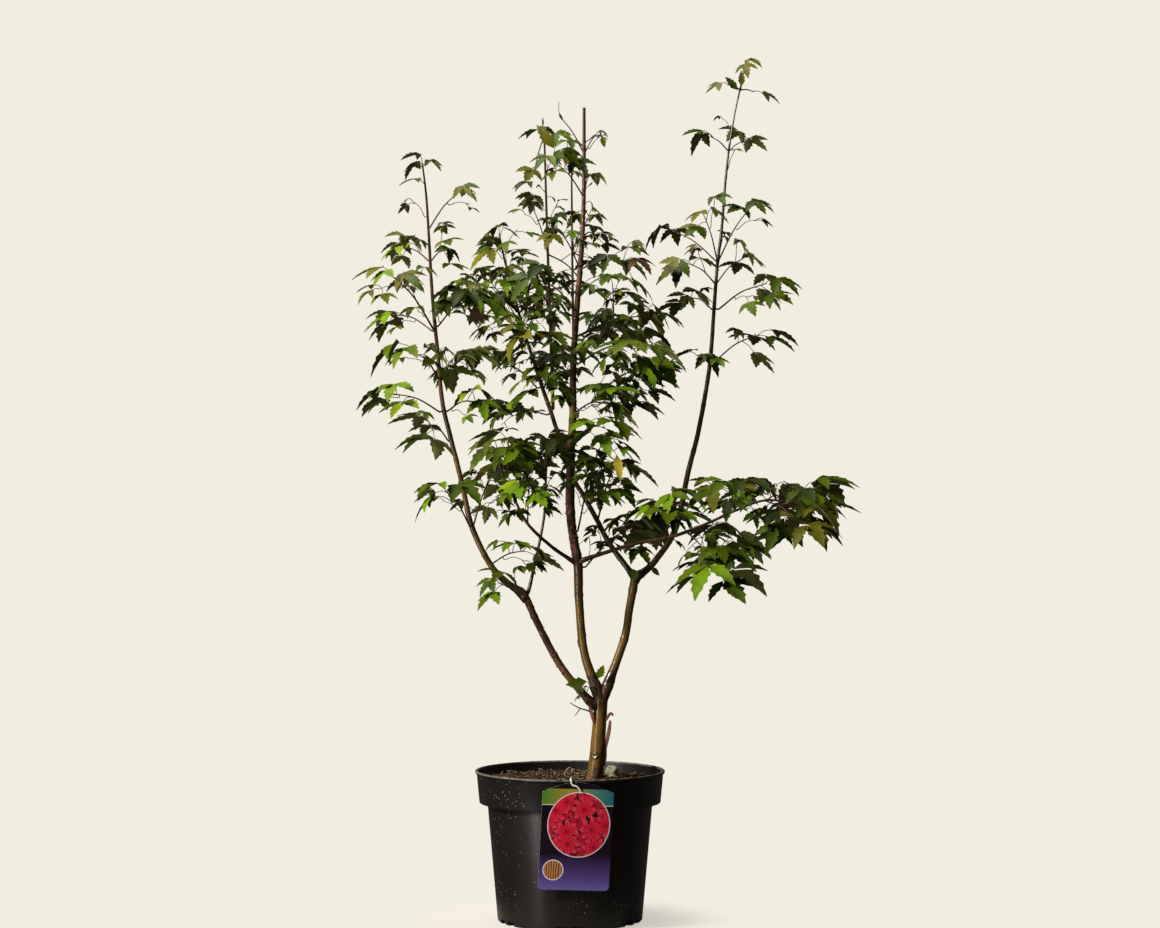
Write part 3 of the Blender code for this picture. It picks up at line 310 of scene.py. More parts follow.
# Loose strips of bark: points of each one with its half width, and the direction in which it is thin
LOOSE_BARK = (
    (((49.5, -4, 238, 1.6), (51.5, -5, 250, 2.6), (54.0, -5, 263, 2.7), (55.6, -6, 276, 1.6)), (0.2, 1, 0)),
    (((47.2, -3, 213, 1.2), (49.0, -4, 225, 1.7), (49.4, -4, 239, 1.5)), (0.2, 1, 0)),
    (((50.0, -5, 276, 1.4), (54.0, -7, 284, 2.0), (57.5, -8, 286, 1.8), (59.0, -8, 282, 1.0)), (0.1, 1, 0.3)),
    (((33.0, -8, 271, 1.2), (31.0, -9, 281, 2.4), (28.5, -9, 291, 2.6), (27.0, -8, 300, 1.2)), (0.3, 1, 0)),
    (((24.5, -6, 317, 0.8), (20.0, -6, 321, 1.6), (15.5, -6, 330, 1.3)), (0.8, 0.1, 0.6)),
    (((12.6, -3, 377, 0.9), (11.6, -3, 385, 1.6), (12.0, -3, 394, 1.1)), (0.3, 1, 0)),
)
LOOSE_THICK = 0.8
SCAR = dict(height=227.5, x=34.2, ring=3.4)
RING_STEP = 1.7
KNUCKLE = 62.0


class PotLook(bpy.types.PropertyGroup):
    plastic: FloatVectorProperty(name="Plastic", description="Colour of the pot", subtype="COLOR", size=4,
                                 default=(0.0052, 0.0040, 0.0034, 1), min=0, max=1)
    dust: FloatProperty(name="Dust", description="How much pale dust clings to the pot", subtype="FACTOR",
                        default=0.85, min=0, max=1)
    # Pales the lip's edge: partly real wear, partly a painted highlight along the lip.
    wear_and_highlight: FloatProperty(name="Lip wear", description="How worn and pale the lip's edge is", subtype="FACTOR",
                        default=0.9, min=0, max=1)


class SoilLook(bpy.types.PropertyGroup):
    relief: FloatProperty(name="Relief", description="Height of the lumps in the compost", unit="LENGTH",
                          default=0.0030, min=0, max=0.006)
    grit: FloatProperty(name="Grit", description="Crumbs to the square metre", default=26000, min=0)
    fibres: FloatProperty(name="Fibres", description="Fibres to the square metre", default=12000, min=0)
    damp: FloatVectorProperty(name="Compost", description="Colour of the compost", subtype="COLOR", size=4,
                              default=(0.036, 0.016, 0.007, 1), min=0, max=1)


class LabelLook(bpy.types.PropertyGroup):
    ground: FloatVectorProperty(name="Ground", description="Dark ground of the print", subtype="COLOR", size=4,
                                default=(0.014, 0.006, 0.014, 1), min=0, max=1)
    bloom: FloatVectorProperty(name="Picture", description="Main colour of the picture", subtype="COLOR", size=4,
                               default=(0.62, 0.010, 0.036, 1), min=0, max=1)
    card: FloatVectorProperty(name="Card", description="White of the card and the hook", subtype="COLOR", size=4,
                              default=(0.80, 0.80, 0.78, 1), min=0, max=1)
    bow: FloatProperty(name="Bow", description="How far the card bows out at its middle", unit="LENGTH",
                       default=0.0016, min=0, max=0.004)


class BarkLook(bpy.types.PropertyGroup):
    relief: FloatProperty(name="Relief", description="Depth of the bark's ridges", unit="LENGTH",
                          default=0.0005, min=0, max=0.002)
    flakes: FloatProperty(name="Flakes", description="Curled flakes to the square metre of papery bark",
                          default=9000, min=0)
    old: FloatVectorProperty(name="Old bark", description="Colour of the thick limbs", subtype="COLOR", size=4,
                             default=(0.230, 0.128, 0.018, 1), min=0, max=1)
    young: FloatVectorProperty(name="Young bark", description="Colour of the thin limbs", subtype="COLOR", size=4,
                               default=(0.095, 0.042, 0.024, 1), min=0, max=1)
    papery: FloatVectorProperty(name="Papery bark", description="Colour where the bark peels", subtype="COLOR",
                                size=4, default=(0.185, 0.070, 0.028, 1), min=0, max=1)


class LeafLook(bpy.types.PropertyGroup):
    shoots: IntProperty(name="Fine shoots", description="Fine side shoots on each twig", default=3, min=0, max=8)
    mid: FloatVectorProperty(name="Leaf", description="Colour of most leaves", subtype="COLOR", size=4,
                             default=(0.098, 0.146, 0.004, 1), min=0, max=1)
    under: FloatVectorProperty(name="Underside", description="Colour of the leaves' undersides", subtype="COLOR",
                               size=4, default=(0.185, 0.215, 0.055, 1), min=0, max=1)
    fold: FloatProperty(name="Fold", description="How far the blades fold up along their ribs", subtype="FACTOR",
                        default=0.42, min=0, max=1)


class StageLook(bpy.types.PropertyGroup):
    paper: FloatVectorProperty(name="Paper", description="Colour of the floor and the background",
                               subtype="COLOR", size=4, default=(0.887, 0.847, 0.753, 1), min=0, max=1)
    key: FloatProperty(name="Key light", description="Power of the light from the left", unit="POWER",
                       default=185, min=0)
    fill: FloatProperty(name="Fill", description="Strength of the light from all round", default=0.055, min=0)


LOOKS = {"maple_pot": PotLook, "maple_soil": SoilLook, "maple_label": LabelLook, "maple_bark": BarkLook,
         "maple_leaf": LeafLook, "maple_stage": StageLook}


# Shader nodes

def add(tree, kind, inputs=None, **settings):
    """A node with its settings. An input takes a value or the socket that feeds it."""
    node = tree.nodes.new(kind)
    for key, value in settings.items():
        setattr(node, key, value)
    for key, value in (inputs or {}).items():
        if isinstance(value, bpy.types.NodeSocket):
            tree.links.new(value, node.inputs[key])
        else:
            node.inputs[key].default_value = value
    return node


def new_group(name, kind, inputs, outputs):
    """A node group with named sockets: its tree, its input node and its output node."""
    tree = bpy.data.node_groups.new(name, kind)
    for label, socket, value in inputs:
        made = tree.interface.new_socket(label, in_out="INPUT", socket_type=socket)
        if value is not None:
            made.default_value = value
    for label, socket in outputs:
        tree.interface.new_socket(label, in_out="OUTPUT", socket_type=socket)
    return tree, add(tree, "NodeGroupInput"), add(tree, "NodeGroupOutput")


def stretched(tree, given):
    """Object coordinates, stretched by the group's own Stretch input."""
    place = add(tree, "ShaderNodeTexCoord")
    return add(tree, "ShaderNodeVectorMath", {0: place.outputs["Object"], 1: given.outputs["Stretch"]},
               operation="MULTIPLY").outputs[0]


def make_groups():
    """The shared effects: mottled colour, raised grain, scattered specks and a fade by height."""
    tree, given, out = new_group("mottle", "ShaderNodeTree", (
        ("First", "NodeSocketColor", (0.5, 0.5, 0.5, 1)), ("Second", "NodeSocketColor", (0.2, 0.2, 0.2, 1)),
        ("Scale", "NodeSocketFloat", 50.0), ("Stretch", "NodeSocketVector", (1, 1, 1)),
        ("Contrast", "NodeSocketFloat", 0.3)), (("Colour", "NodeSocketColor"), ("Mask", "NodeSocketFloat")))
    cloud = add(tree, "ShaderNodeTexNoise", {"Vector": stretched(tree, given), "Scale": given.outputs["Scale"],
                                             "Detail": 4.0, "Roughness": 0.6})
    low = add(tree, "ShaderNodeMath", {0: 0.5, 1: given.outputs["Contrast"]}, operation="SUBTRACT")
    high = add(tree, "ShaderNodeMath", {0: 0.5, 1: given.outputs["Contrast"]}, operation="ADD")
    mask = add(tree, "ShaderNodeMapRange", {"Value": cloud.outputs["Fac"], "From Min": low.outputs[0],
                                            "From Max": high.outputs[0]})
    mixed = add(tree, "ShaderNodeMix", {0: mask.outputs[0], 6: given.outputs["First"], 7: given.outputs["Second"]},
                data_type="RGBA")
    tree.links.new(mixed.outputs[2], out.inputs["Colour"])
    tree.links.new(mask.outputs[0], out.inputs["Mask"])

    tree, given, out = new_group("grain", "ShaderNodeTree", (
        ("Scale", "NodeSocketFloat", 300.0), ("Stretch", "NodeSocketVector", (1, 1, 1)),
        ("Depth", "NodeSocketFloat", 0.0003), ("Strength", "NodeSocketFloat", 1.0)),
        (("Normal", "NodeSocketVector"), ("Height", "NodeSocketFloat")))
    cloud = add(tree, "ShaderNodeTexNoise", {"Vector": stretched(tree, given), "Scale": given.outputs["Scale"],
                                             "Detail": 5.0, "Roughness": 0.62})
    bump = add(tree, "ShaderNodeBump", {"Height": cloud.outputs["Fac"], "Distance": given.outputs["Depth"],
                                        "Strength": given.outputs["Strength"]})
    tree.links.new(bump.outputs[0], out.inputs["Normal"])
    tree.links.new(cloud.outputs["Fac"], out.inputs["Height"])

    tree, given, out = new_group("specks", "ShaderNodeTree", (
        ("Scale", "NodeSocketFloat", 300.0), ("Stretch", "NodeSocketVector", (1, 1, 1)),
        ("Size", "NodeSocketFloat", 0.14), ("Share", "NodeSocketFloat", 0.3)), (("Mask", "NodeSocketFloat"),))
    place = stretched(tree, given)
    cells = add(tree, "ShaderNodeTexVoronoi", {"Vector": place, "Scale": given.outputs["Scale"]})
    edge = add(tree, "ShaderNodeMath", {0: given.outputs["Size"], 1: 0.6}, operation="MULTIPLY")
    dots = add(tree, "ShaderNodeMapRange", {"Value": cells.outputs["Distance"], "From Min": given.outputs["Size"],
                                            "From Max": edge.outputs[0]})
    hue = add(tree, "ShaderNodeSeparateColor", {0: cells.outputs["Color"]})
    some = add(tree, "ShaderNodeMath", {0: hue.outputs[0], 1: given.outputs["Share"]}, operation="LESS_THAN")
    broad = add(tree, "ShaderNodeTexNoise", {"Vector": place, "Scale": 16.0, "Detail": 3.0})
    patch = add(tree, "ShaderNodeMapRange", {"Value": broad.outputs["Fac"], "From Min": 0.42, "From Max": 0.62})
    both = add(tree, "ShaderNodeMath", {0: dots.outputs[0], 1: some.outputs[0]}, operation="MULTIPLY")
    mask = add(tree, "ShaderNodeMath", {0: both.outputs[0], 1: patch.outputs[0]}, operation="MULTIPLY")
    tree.links.new(mask.outputs[0], out.inputs["Mask"])

    tree, given, out = new_group("height_fade", "ShaderNodeTree", (
        ("Low", "NodeSocketFloat", 0.0), ("High", "NodeSocketFloat", 1.0)), (("Mask", "NodeSocketFloat"),))
    place = add(tree, "ShaderNodeTexCoord")
    parts = add(tree, "ShaderNodeSeparateXYZ", {0: place.outputs["Object"]})
    mask = add(tree, "ShaderNodeMapRange", {"Value": parts.outputs["Z"], "From Min": given.outputs["Low"],
                                            "From Max": given.outputs["High"]})
    tree.links.new(mask.outputs[0], out.inputs["Mask"])


def effect(tree, name, **values):
    """A shared effect placed in a material, with its own values."""
    if name not in bpy.data.node_groups:
        make_groups()
    node = add(tree, "ShaderNodeGroup", node_tree=bpy.data.node_groups[name])
    for key, value in values.items():
        label = key.capitalize()
        if isinstance(value, bpy.types.NodeSocket):
            tree.links.new(value, node.inputs[label])
        else:
            node.inputs[label].default_value = value
    return node


def finish(name, roughness, **plain):
    """A material with its Principled shader's plain values set: the material, its tree and its shader."""
    made = bpy.data.materials.new(name)
    made.use_nodes = True
    shader = made.node_tree.nodes["Principled BSDF"]
    shader.inputs["Roughness"].default_value = roughness
    for key, value in plain.items():
        shader.inputs[key.replace("_", " ")].default_value = value
    return made, made.node_tree, shader


def colour_mix(tree, share, first, second):
    return add(tree, "ShaderNodeMix", {0: share, 6: first, 7: second}, data_type="RGBA").outputs[2]


def tinted(colour, light):
    """A colour made lighter or darker."""
    return (*(min(1, c * light) for c in colour[:3]), 1)


# Meshes

def new_piece(name, points, faces, finishes, which=None, angle=50):
    """A piece at the origin from points in millimetres, smooth but for edges sharper than the angle."""
    mesh = bpy.data.meshes.new(name)
    mesh.from_pydata([(p[0] * MM, p[1] * MM, p[2] * MM) for p in points], [], faces)
    for finish_made in finishes:
        mesh.materials.append(finish_made)
    if which:
        mesh.polygons.foreach_set("material_index", which)
    mesh.shade_smooth()
    mesh.set_sharp_from_angle(angle=math.radians(angle))
    made = bpy.data.objects.new(name, mesh)
    bpy.context.scene.collection.objects.link(made)
    return made


def place_piece(made, slot, *nodes):
    """Sets a finished piece on the frame, and hides the solids that it stands for. The slot is not used."""
    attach(made, BODY)
    if nodes:
        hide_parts(*nodes)


def turned(profile, sides):
    """Points and faces of a solid of revolution from a profile that starts and ends on the axis."""
    points = [(0, 0, profile[0][1])]
    for radius, height in profile[1:-1]:
        points += [(radius * math.cos(math.tau * k / sides), radius * math.sin(math.tau * k / sides), height)
                   for k in range(sides)]
    points.append((0, 0, profile[-1][1]))
    last = len(points) - 1
    faces = []
    for k in range(sides):
        after = (k + 1) % sides
        faces.append((0, 1 + after, 1 + k))
        for ring in range(len(profile) - 3):
            low = 1 + ring * sides
            faces.append((low + k, low + after, low + sides + after, low + sides + k))
        top = 1 + (len(profile) - 3) * sides
        faces.append((top + k, top + after, last))
    return points, faces


def arc(centre, radius, first, last, count):
    """Points of a rounded corner, from one angle to another in degrees."""
    angles = [math.radians(first + (last - first) * k / (count - 1)) for k in range(count)]
    return [(centre[0] + radius * math.cos(a), centre[1] + radius * math.sin(a)) for a in angles]


def inner_wall(height):
    return BASE_RADIUS - WALL + (WALL_TOP_RADIUS - BASE_RADIUS) / COLLAR_FOOT * height


def inner_collar(height):
    rise = (COLLAR_TOP_RADIUS - COLLAR_FOOT_RADIUS) / (LIP_FOOT - COLLAR_FOOT)
    return COLLAR_FOOT_RADIUS - WALL + rise * (height - COLLAR_FOOT)


# Pot

def pot_finish():
    look = bpy.context.scene.maple_pot
    made, tree, shader = finish("pot_plastic", 0.4, Specular_IOR_Level=0.40)
    specks = effect(tree, "specks", scale=170.0, size=0.17, share=look.dust)
    film = effect(tree, "mottle", first=look.plastic, second=tinted(look.plastic, 2.6), scale=9.0,
                  stretch=(1, 1, 0.35), contrast=0.22)
    # The lip's top edge is painted pale in patches: partly real wear, partly a painted highlight along the lip.
    rim = effect(tree, "height_fade", low=(POT_HEIGHT - 2.4) * MM, high=(POT_HEIGHT - 1.0) * MM)
    worn_and_lit = effect(tree, "mottle", scale=120.0, contrast=0.2)
    rubbed_and_highlit = add(tree, "ShaderNodeMath", {0: rim.outputs[0], 1: worn_and_lit.outputs["Mask"]}, operation="MULTIPLY")
    shown = add(tree, "ShaderNodeMath", {0: rubbed_and_highlit.outputs[0], 1: look.wear_and_highlight}, operation="MULTIPLY")
    dusty = add(tree, "ShaderNodeMath", {0: specks.outputs[0], 1: 0.90}, operation="MULTIPLY")
    dust_wear_and_highlight = add(tree, "ShaderNodeMath", {0: shown.outputs[0], 1: dusty.outputs[0]}, operation="MAXIMUM")
    # Pale where dust clings, and at the lip for wear and a painted highlight.
    colour = colour_mix(tree, dust_wear_and_highlight.outputs[0], film.outputs["Colour"], (0.30, 0.27, 0.23, 1))
    tree.links.new(colour, shader.inputs["Base Color"])
    rough = add(tree, "ShaderNodeMapRange", {"Value": film.outputs["Mask"], "To Min": 0.26, "To Max": 0.38})
    rough = add(tree, "ShaderNodeMath", {0: dust_wear_and_highlight.outputs[0], 1: 0.5, 2: rough.outputs[0]}, operation="MULTIPLY_ADD")
    tree.links.new(rough.outputs[0], shader.inputs["Roughness"])
    grain = effect(tree, "grain", scale=1400.0, depth=0.00005, strength=0.5)
    tree.links.new(grain.outputs["Normal"], shader.inputs["Normal"])
    return made


def make_pot():
    """The thin pot with its collar, rolled lip, inner ledge and the drain notches round its foot."""
    ledge = COLLAR_FOOT + WALL
    top = inner_collar(POT_HEIGHT)
    profile = [(0, 1.2), (60, 1.2), (62, 0), (BASE_RADIUS - 3, 0)]
    profile += arc((BASE_RADIUS - 3, 3), 3, -90, 0, 6)[1:]
    profile += [(WALL_TOP_RADIUS - 0.6, COLLAR_FOOT - 7)] + arc((WALL_TOP_RADIUS + 1.4, COLLAR_FOOT - 1.4), 1.4, 180, 90, 4)
    profile += arc((COLLAR_FOOT_RADIUS - 0.9, COLLAR_FOOT + 0.9), 0.9, -90, 0, 4)
    profile += [(COLLAR_TOP_RADIUS - 0.1, LIP_FOOT - 0.6), (COLLAR_TOP_RADIUS + 0.2, LIP_FOOT)]
    profile += arc((LIP_RADIUS - 0.9, LIP_FOOT + 1.4), 0.9, -90, 0, 4)
    profile += arc((LIP_RADIUS - 1.0, POT_HEIGHT - 1.0), 1.0, 0, 90, 5)
    profile += arc((top + 0.7, POT_HEIGHT - 0.7), 0.7, 90, 180, 4)
    profile += [(inner_collar(ledge), ledge), (inner_wall(ledge), ledge), (inner_wall(FLOOR), FLOOR), (0, FLOOR)]
    look = pot_finish()
    pot = new_piece("nursery_pot", *turned(profile, POT_SIDES), [look])
    cutters = bpy.data.collections.new("drain_cutters")
    for k in range(DRAINS):
        turn = Matrix.Rotation(math.tau * k / DRAINS - math.pi / 2, 3, "Z")
        for side in (-1, 1):
            middle = side * (DRAIN_WIDTH + DRAIN_RIB) / 2
            corners = [turn @ Vector((x, y, z)) for x in (inner_wall(0) - 6, BASE_RADIUS + 6)
                       for y in (middle - DRAIN_WIDTH / 2, middle + DRAIN_WIDTH / 2) for z in (-2, DRAIN_HEIGHT)]
            box = new_piece("drain", corners, ((0, 1, 3, 2), (4, 6, 7, 5), (0, 4, 5, 1), (2, 3, 7, 6), (0, 2, 6, 4),
                                               (1, 5, 7, 3)), [])
            bpy.context.scene.collection.objects.unlink(box)
            cutters.objects.link(box)
    cut = pot.modifiers.new("drains", "BOOLEAN")
    cut.operation = "DIFFERENCE"
    cut.operand_type = "COLLECTION"
    cut.collection = cutters
    cut.solver = "EXACT"
    apply_modifiers(pot)
    for box in list(cutters.objects):
        bpy.data.objects.remove(box)
    bpy.data.collections.remove(cutters)
    pot.data.shade_smooth()
    pot.data.set_sharp_from_angle(angle=math.radians(32))
    place_piece(pot, "pot_plastic", "pot")


def apply_modifiers(made):
    """Turns an object's modifiers into its plain mesh."""
    bpy.context.view_layer.update()
    graph = bpy.context.evaluated_depsgraph_get()
    mesh = bpy.data.meshes.new_from_object(made.evaluated_get(graph), depsgraph=graph)
    made.modifiers.clear()
    made.data = mesh


# Strewn bits

def strew_tree():
    """Copies of one small piece strewn over a surface, thicker where a named mask is higher."""
    if "strew" in bpy.data.node_groups:
        return bpy.data.node_groups["strew"]
    tree, given, out = new_group("strew", "GeometryNodeTree", (
        ("Surface", "NodeSocketGeometry", None), ("Piece", "NodeSocketObject", None),
        ("Mask", "NodeSocketString", "mask"), ("Density", "NodeSocketFloat", 1000.0), ("Seed", "NodeSocketInt", 1),
        ("Smallest", "NodeSocketFloat", 0.5), ("Largest", "NodeSocketFloat", 1.2), ("Tilt", "NodeSocketFloat", 0.3),
        ("Finish", "NodeSocketMaterial", None)), (("Bits", "NodeSocketGeometry"),))
    mask = add(tree, "GeometryNodeInputNamedAttribute", {"Name": given.outputs["Mask"]}, data_type="FLOAT")
    density = add(tree, "ShaderNodeMath", {0: mask.outputs[0], 1: given.outputs["Density"]}, operation="MULTIPLY")
    spots = add(tree, "GeometryNodeDistributePointsOnFaces", {
        "Mesh": given.outputs["Surface"], "Density": density.outputs[0], "Seed": given.outputs["Seed"]})
    negative = add(tree, "ShaderNodeMath", {0: given.outputs["Tilt"], 1: -1.0}, operation="MULTIPLY")
    low = add(tree, "ShaderNodeCombineXYZ", {0: negative.outputs[0], 1: negative.outputs[0]})
    high = add(tree, "ShaderNodeCombineXYZ", {0: given.outputs["Tilt"], 1: given.outputs["Tilt"], 2: math.tau})
    angles = add(tree, "FunctionNodeRandomValue", {0: low.outputs[0], 1: high.outputs[0],
                                                   "Seed": given.outputs["Seed"]}, data_type="FLOAT_VECTOR")
    spin = add(tree, "FunctionNodeEulerToRotation", {0: angles.outputs[0]})
    turn = add(tree, "FunctionNodeRotateRotation", {0: spots.outputs["Rotation"], 1: spin.outputs[0]},
               rotation_space="LOCAL")
    scale = add(tree, "FunctionNodeRandomValue", {2: given.outputs["Smallest"], 3: given.outputs["Largest"],
                                                  "Seed": given.outputs["Seed"]}, data_type="FLOAT")
    shape = add(tree, "GeometryNodeObjectInfo", {0: given.outputs["Piece"]})
    copies = add(tree, "GeometryNodeInstanceOnPoints", {
        "Points": spots.outputs["Points"], "Instance": shape.outputs["Geometry"], "Rotation": turn.outputs[0],
        "Scale": scale.outputs[1]})
    real = add(tree, "GeometryNodeRealizeInstances", {0: copies.outputs[0]})
    dressed = add(tree, "GeometryNodeSetMaterial", {0: real.outputs[0], "Material": given.outputs["Finish"]})
    tree.links.new(dressed.outputs[0], out.inputs[0])
    return tree


def strew(name, surface, bit, look, **values):
    """A plain mesh of bits strewn over a surface by the strew tree. The bit itself is then removed."""
    carrier = bpy.data.objects.new(name, surface.data)
    bpy.context.scene.collection.objects.link(carrier)
    step = carrier.modifiers.new("strew", "NODES")
    step.node_group = strew_tree()
    values = {"Piece": bit, "Finish": look, **{key.capitalize(): value for key, value in values.items()}}
    for socket in step.node_group.interface.items_tree:
        if socket.item_type == "SOCKET" and socket.in_out == "INPUT" and socket.name in values:
            step[socket.identifier] = values[socket.name]
    apply_modifiers(carrier)
    bpy.data.objects.remove(bit)
    carrier.data.materials.clear()
    carrier.data.materials.append(look)
    return carrier


def set_mask(mesh, name, values):
    layer = mesh.attributes.new(name, "FLOAT", "POINT")
    layer.data.foreach_set("value", values)


# Compost

def earthy(name, first, second, scale, depth):
    made, tree, shader = finish(name, 0.93, Specular_IOR_Level=0.25)
    mottle = effect(tree, "mottle", first=first, second=second, scale=scale, contrast=0.16)
    tree.links.new(mottle.outputs["Colour"], shader.inputs["Base Color"])
    grain = effect(tree, "grain", scale=scale * 2.2, depth=depth)
    tree.links.new(grain.outputs["Normal"], shader.inputs["Normal"])
    return made


def soil_height(x, y, relief):
    """Height of the compost's top: lumps, a low mound at the trunk and a dip at the pot's wall."""
    lumps = noise.noise(Vector((x / 21, y / 21, 0.4))) + 0.55 * noise.noise(Vector((x / 8, y / 8, 3.1)))
    lumps += 0.4 * noise.noise(Vector((x / 3.2, y / 3.2, 7.7)))
    mound = 3.0 * math.exp(-((x - 33) ** 2 + y ** 2) / 24 ** 2)
    edge = max(0.0, math.hypot(x, y) - 112)
    return SOIL_TOP + relief / MM * lumps + mound - 0.012 * edge ** 2


def make_soil():
    """The compost's body with a lumpy top, strewn with crumbs, bark chips and fibres."""
    look = bpy.context.scene.maple_soil
    ledge = COLLAR_FOOT + WALL + GAP
    floor = FLOOR + GAP
    rim = inner_collar(SOIL_TOP) - 0.6
    rings = 64
    profile = [(0, floor), (inner_wall(floor) - 0.6, floor), (inner_wall(ledge) - 0.6, ledge),
               (inner_collar(ledge) - 0.6, ledge)]
    profile += [(rim * (1 - k / rings), SOIL_TOP) for k in range(rings)] + [(0, SOIL_TOP)]
    points, faces = turned(profile, POT_SIDES)
    points = [(x, y, soil_height(x, y, look.relief) if z == SOIL_TOP else z) for x, y, z in points]
    mid = look.damp
    body = new_piece("compost", points, faces, [earthy("compost", mid, tinted(mid, 0.35), 260.0, 0.0022)], angle=75)
    set_mask(body.data, "mask", [1.0 if p[2] > SOIL_TOP - 6 and math.hypot(p[0], p[1]) < rim - 3 else 0.0 for p in points])
    place_piece(body, "compost", "soil")
    crumbs = strew("compost_crumbs", body, lump("crumb", 1.6, 1), earthy("crumb", tinted(mid, 0.8), tinted(mid, 0.3), 500.0, 0.001),
                   density=look.grit, seed=3, smallest=0.4, largest=1.5, tilt=3.1)
    chips = strew("bark_chips", body, lump("chip", 3.6, 2, (1.0, 0.55, 0.28)),
                  earthy("chip", (0.115, 0.055, 0.024, 1), (0.035, 0.016, 0.008, 1), 300.0, 0.001),
                  density=look.grit * 0.12, seed=8, smallest=0.5, largest=1.6, tilt=0.35)
    fibres = strew("compost_fibres", body, fibre("fibre", 11.0, 0.17, 5),
                   earthy("fibre", (0.30, 0.17, 0.075, 1), (0.12, 0.055, 0.022, 1), 120.0, 0.0002),
                   density=look.fibres, seed=21, smallest=0.35, largest=1.3, tilt=0.7)
    pale = strew("pale_fibres", body, fibre("straw", 15.0, 0.24, 9),
                 earthy("straw", (0.78, 0.58, 0.35, 1), (0.40, 0.26, 0.13, 1), 120.0, 0.0002),
                 density=look.fibres * 0.35, seed=35, smallest=0.35, largest=1.25, tilt=0.6)
    for made in (crumbs, chips, fibres, pale):
        place_piece(made, "compost")
    x, y = MOSS_PLACE
    stone = lump("moss_lump", 19.0, 3, (0.9, 0.8, 0.95), 4)
    stone.data.transform(Matrix.Translation(Vector((x, y, soil_height(x, y, look.relief) + 5.0)) * MM))
    stone.data.materials.append(earthy("pale_moss", (0.85, 0.80, 0.56, 1), (0.46, 0.43, 0.25, 1), 420.0, 0.006))
    place_piece(stone, "compost")
    thread = new_piece("white_thread", *tube(smooth_line(THREAD, 1.2), 6), [
        earthy("thread", (0.80, 0.78, 0.72, 1), (0.62, 0.58, 0.52, 1), 200.0, 0.0001)])
    place_piece(thread, "compost")


def lump(name, size, seed, shape=(1, 1, 0.8), detail=1):
    """An uneven lump about one size across, lying on its own origin."""
    form = bmesh.new()
    bmesh.ops.create_icosphere(form, subdivisions=detail, radius=size / 2)
    for vert in form.verts:
        push = 1 + 0.55 * noise.noise(vert.co * (1.9 / size) + Vector((seed * 5.3, 0, 0)))
        vert.co = Vector((vert.co.x * shape[0], vert.co.y * shape[1], vert.co.z * shape[2])) * push * MM
    mesh = bpy.data.meshes.new(name)
    form.to_mesh(mesh)
    form.free()
    if detail > 1:
        mesh.shade_smooth()
    made = bpy.data.objects.new(name, mesh)
    bpy.context.scene.collection.objects.link(made)
    return made


def fibre(name, length, radius, seed):
    """A bent fibre that lies along X."""
    rng = random.Random(seed)
    rows = [(length * (k / 4 - 0.5), rng.uniform(-0.16, 0.16) * length, 0.5 + rng.uniform(-0.3, 0.7), radius)
            for k in range(5)]
    return new_piece(name, *tube(smooth_line(rows, length / 8), 3), [])


# Label

def lean(height):
    slope = (LIP_RADIUS - COLLAR_FOOT_RADIUS) / (LIP_FOOT - COLLAR_FOOT)
    return LIP_RADIUS + GAP + slope * (height - LIP_FOOT - 1)


def ring_mask(tree, place, centre, size, soft):
    """1 inside an ellipse of the label's print, 0 outside, with a soft edge; also the distance itself."""
    moved = add(tree, "ShaderNodeVectorMath", {0: place, 1: (*centre, 0)}, operation="SUBTRACT")
    scaled = add(tree, "ShaderNodeVectorMath", {0: moved.outputs[0], 1: (1 / size[0], 1 / size[1], 0)},
                 operation="MULTIPLY")
    far = add(tree, "ShaderNodeVectorMath", {0: scaled.outputs[0]}, operation="LENGTH").outputs["Value"]
    mask = add(tree, "ShaderNodeMapRange", {"Value": far, "From Min": 1 + soft, "From Max": 1 - soft})
    return mask.outputs[0], far


def blossoms(tree, place, scale, points):
    """Star-shaped blossoms, one to a cell of the print: where they are, and the way out from heart to tip."""
    cells = add(tree, "ShaderNodeTexVoronoi", {"Vector": place, "Scale": scale, "Randomness": 0.8},
                voronoi_dimensions="2D")
    local = add(tree, "ShaderNodeVectorMath", {0: place, 1: cells.outputs["Position"]}, operation="SUBTRACT")
    parts = add(tree, "ShaderNodeSeparateXYZ", {0: local.outputs[0]})
    angle = add(tree, "ShaderNodeMath", {0: parts.outputs["Y"], 1: parts.outputs["X"]}, operation="ARCTAN2")
    turns = add(tree, "ShaderNodeMath", {0: angle.outputs[0], 1: points / 2}, operation="MULTIPLY")
    wave = add(tree, "ShaderNodeMath", {0: turns.outputs[0]}, operation="COSINE")
    size = add(tree, "ShaderNodeMath", {0: wave.outputs[0]}, operation="ABSOLUTE")
    reach = add(tree, "ShaderNodeMath", {0: size.outputs[0], 1: 0.46, 2: 0.16}, operation="MULTIPLY_ADD")
    way = add(tree, "ShaderNodeMath", {0: cells.outputs["Distance"], 1: reach.outputs[0]}, operation="DIVIDE")
    mask = add(tree, "ShaderNodeMapRange", {"Value": way.outputs[0], "From Min": 1.04, "From Max": 0.96})
    return mask.outputs[0], way.outputs[0]


def near_value(tree, value, middle, half):
    """1 where a value is close to its middle: a printed line."""
    away = add(tree, "ShaderNodeMath", {0: value, 1: middle}, operation="SUBTRACT")
    size = add(tree, "ShaderNodeMath", {0: away.outputs[0]}, operation="ABSOLUTE")
    return add(tree, "ShaderNodeMath", {0: size.outputs[0], 1: half}, operation="LESS_THAN").outputs[0]


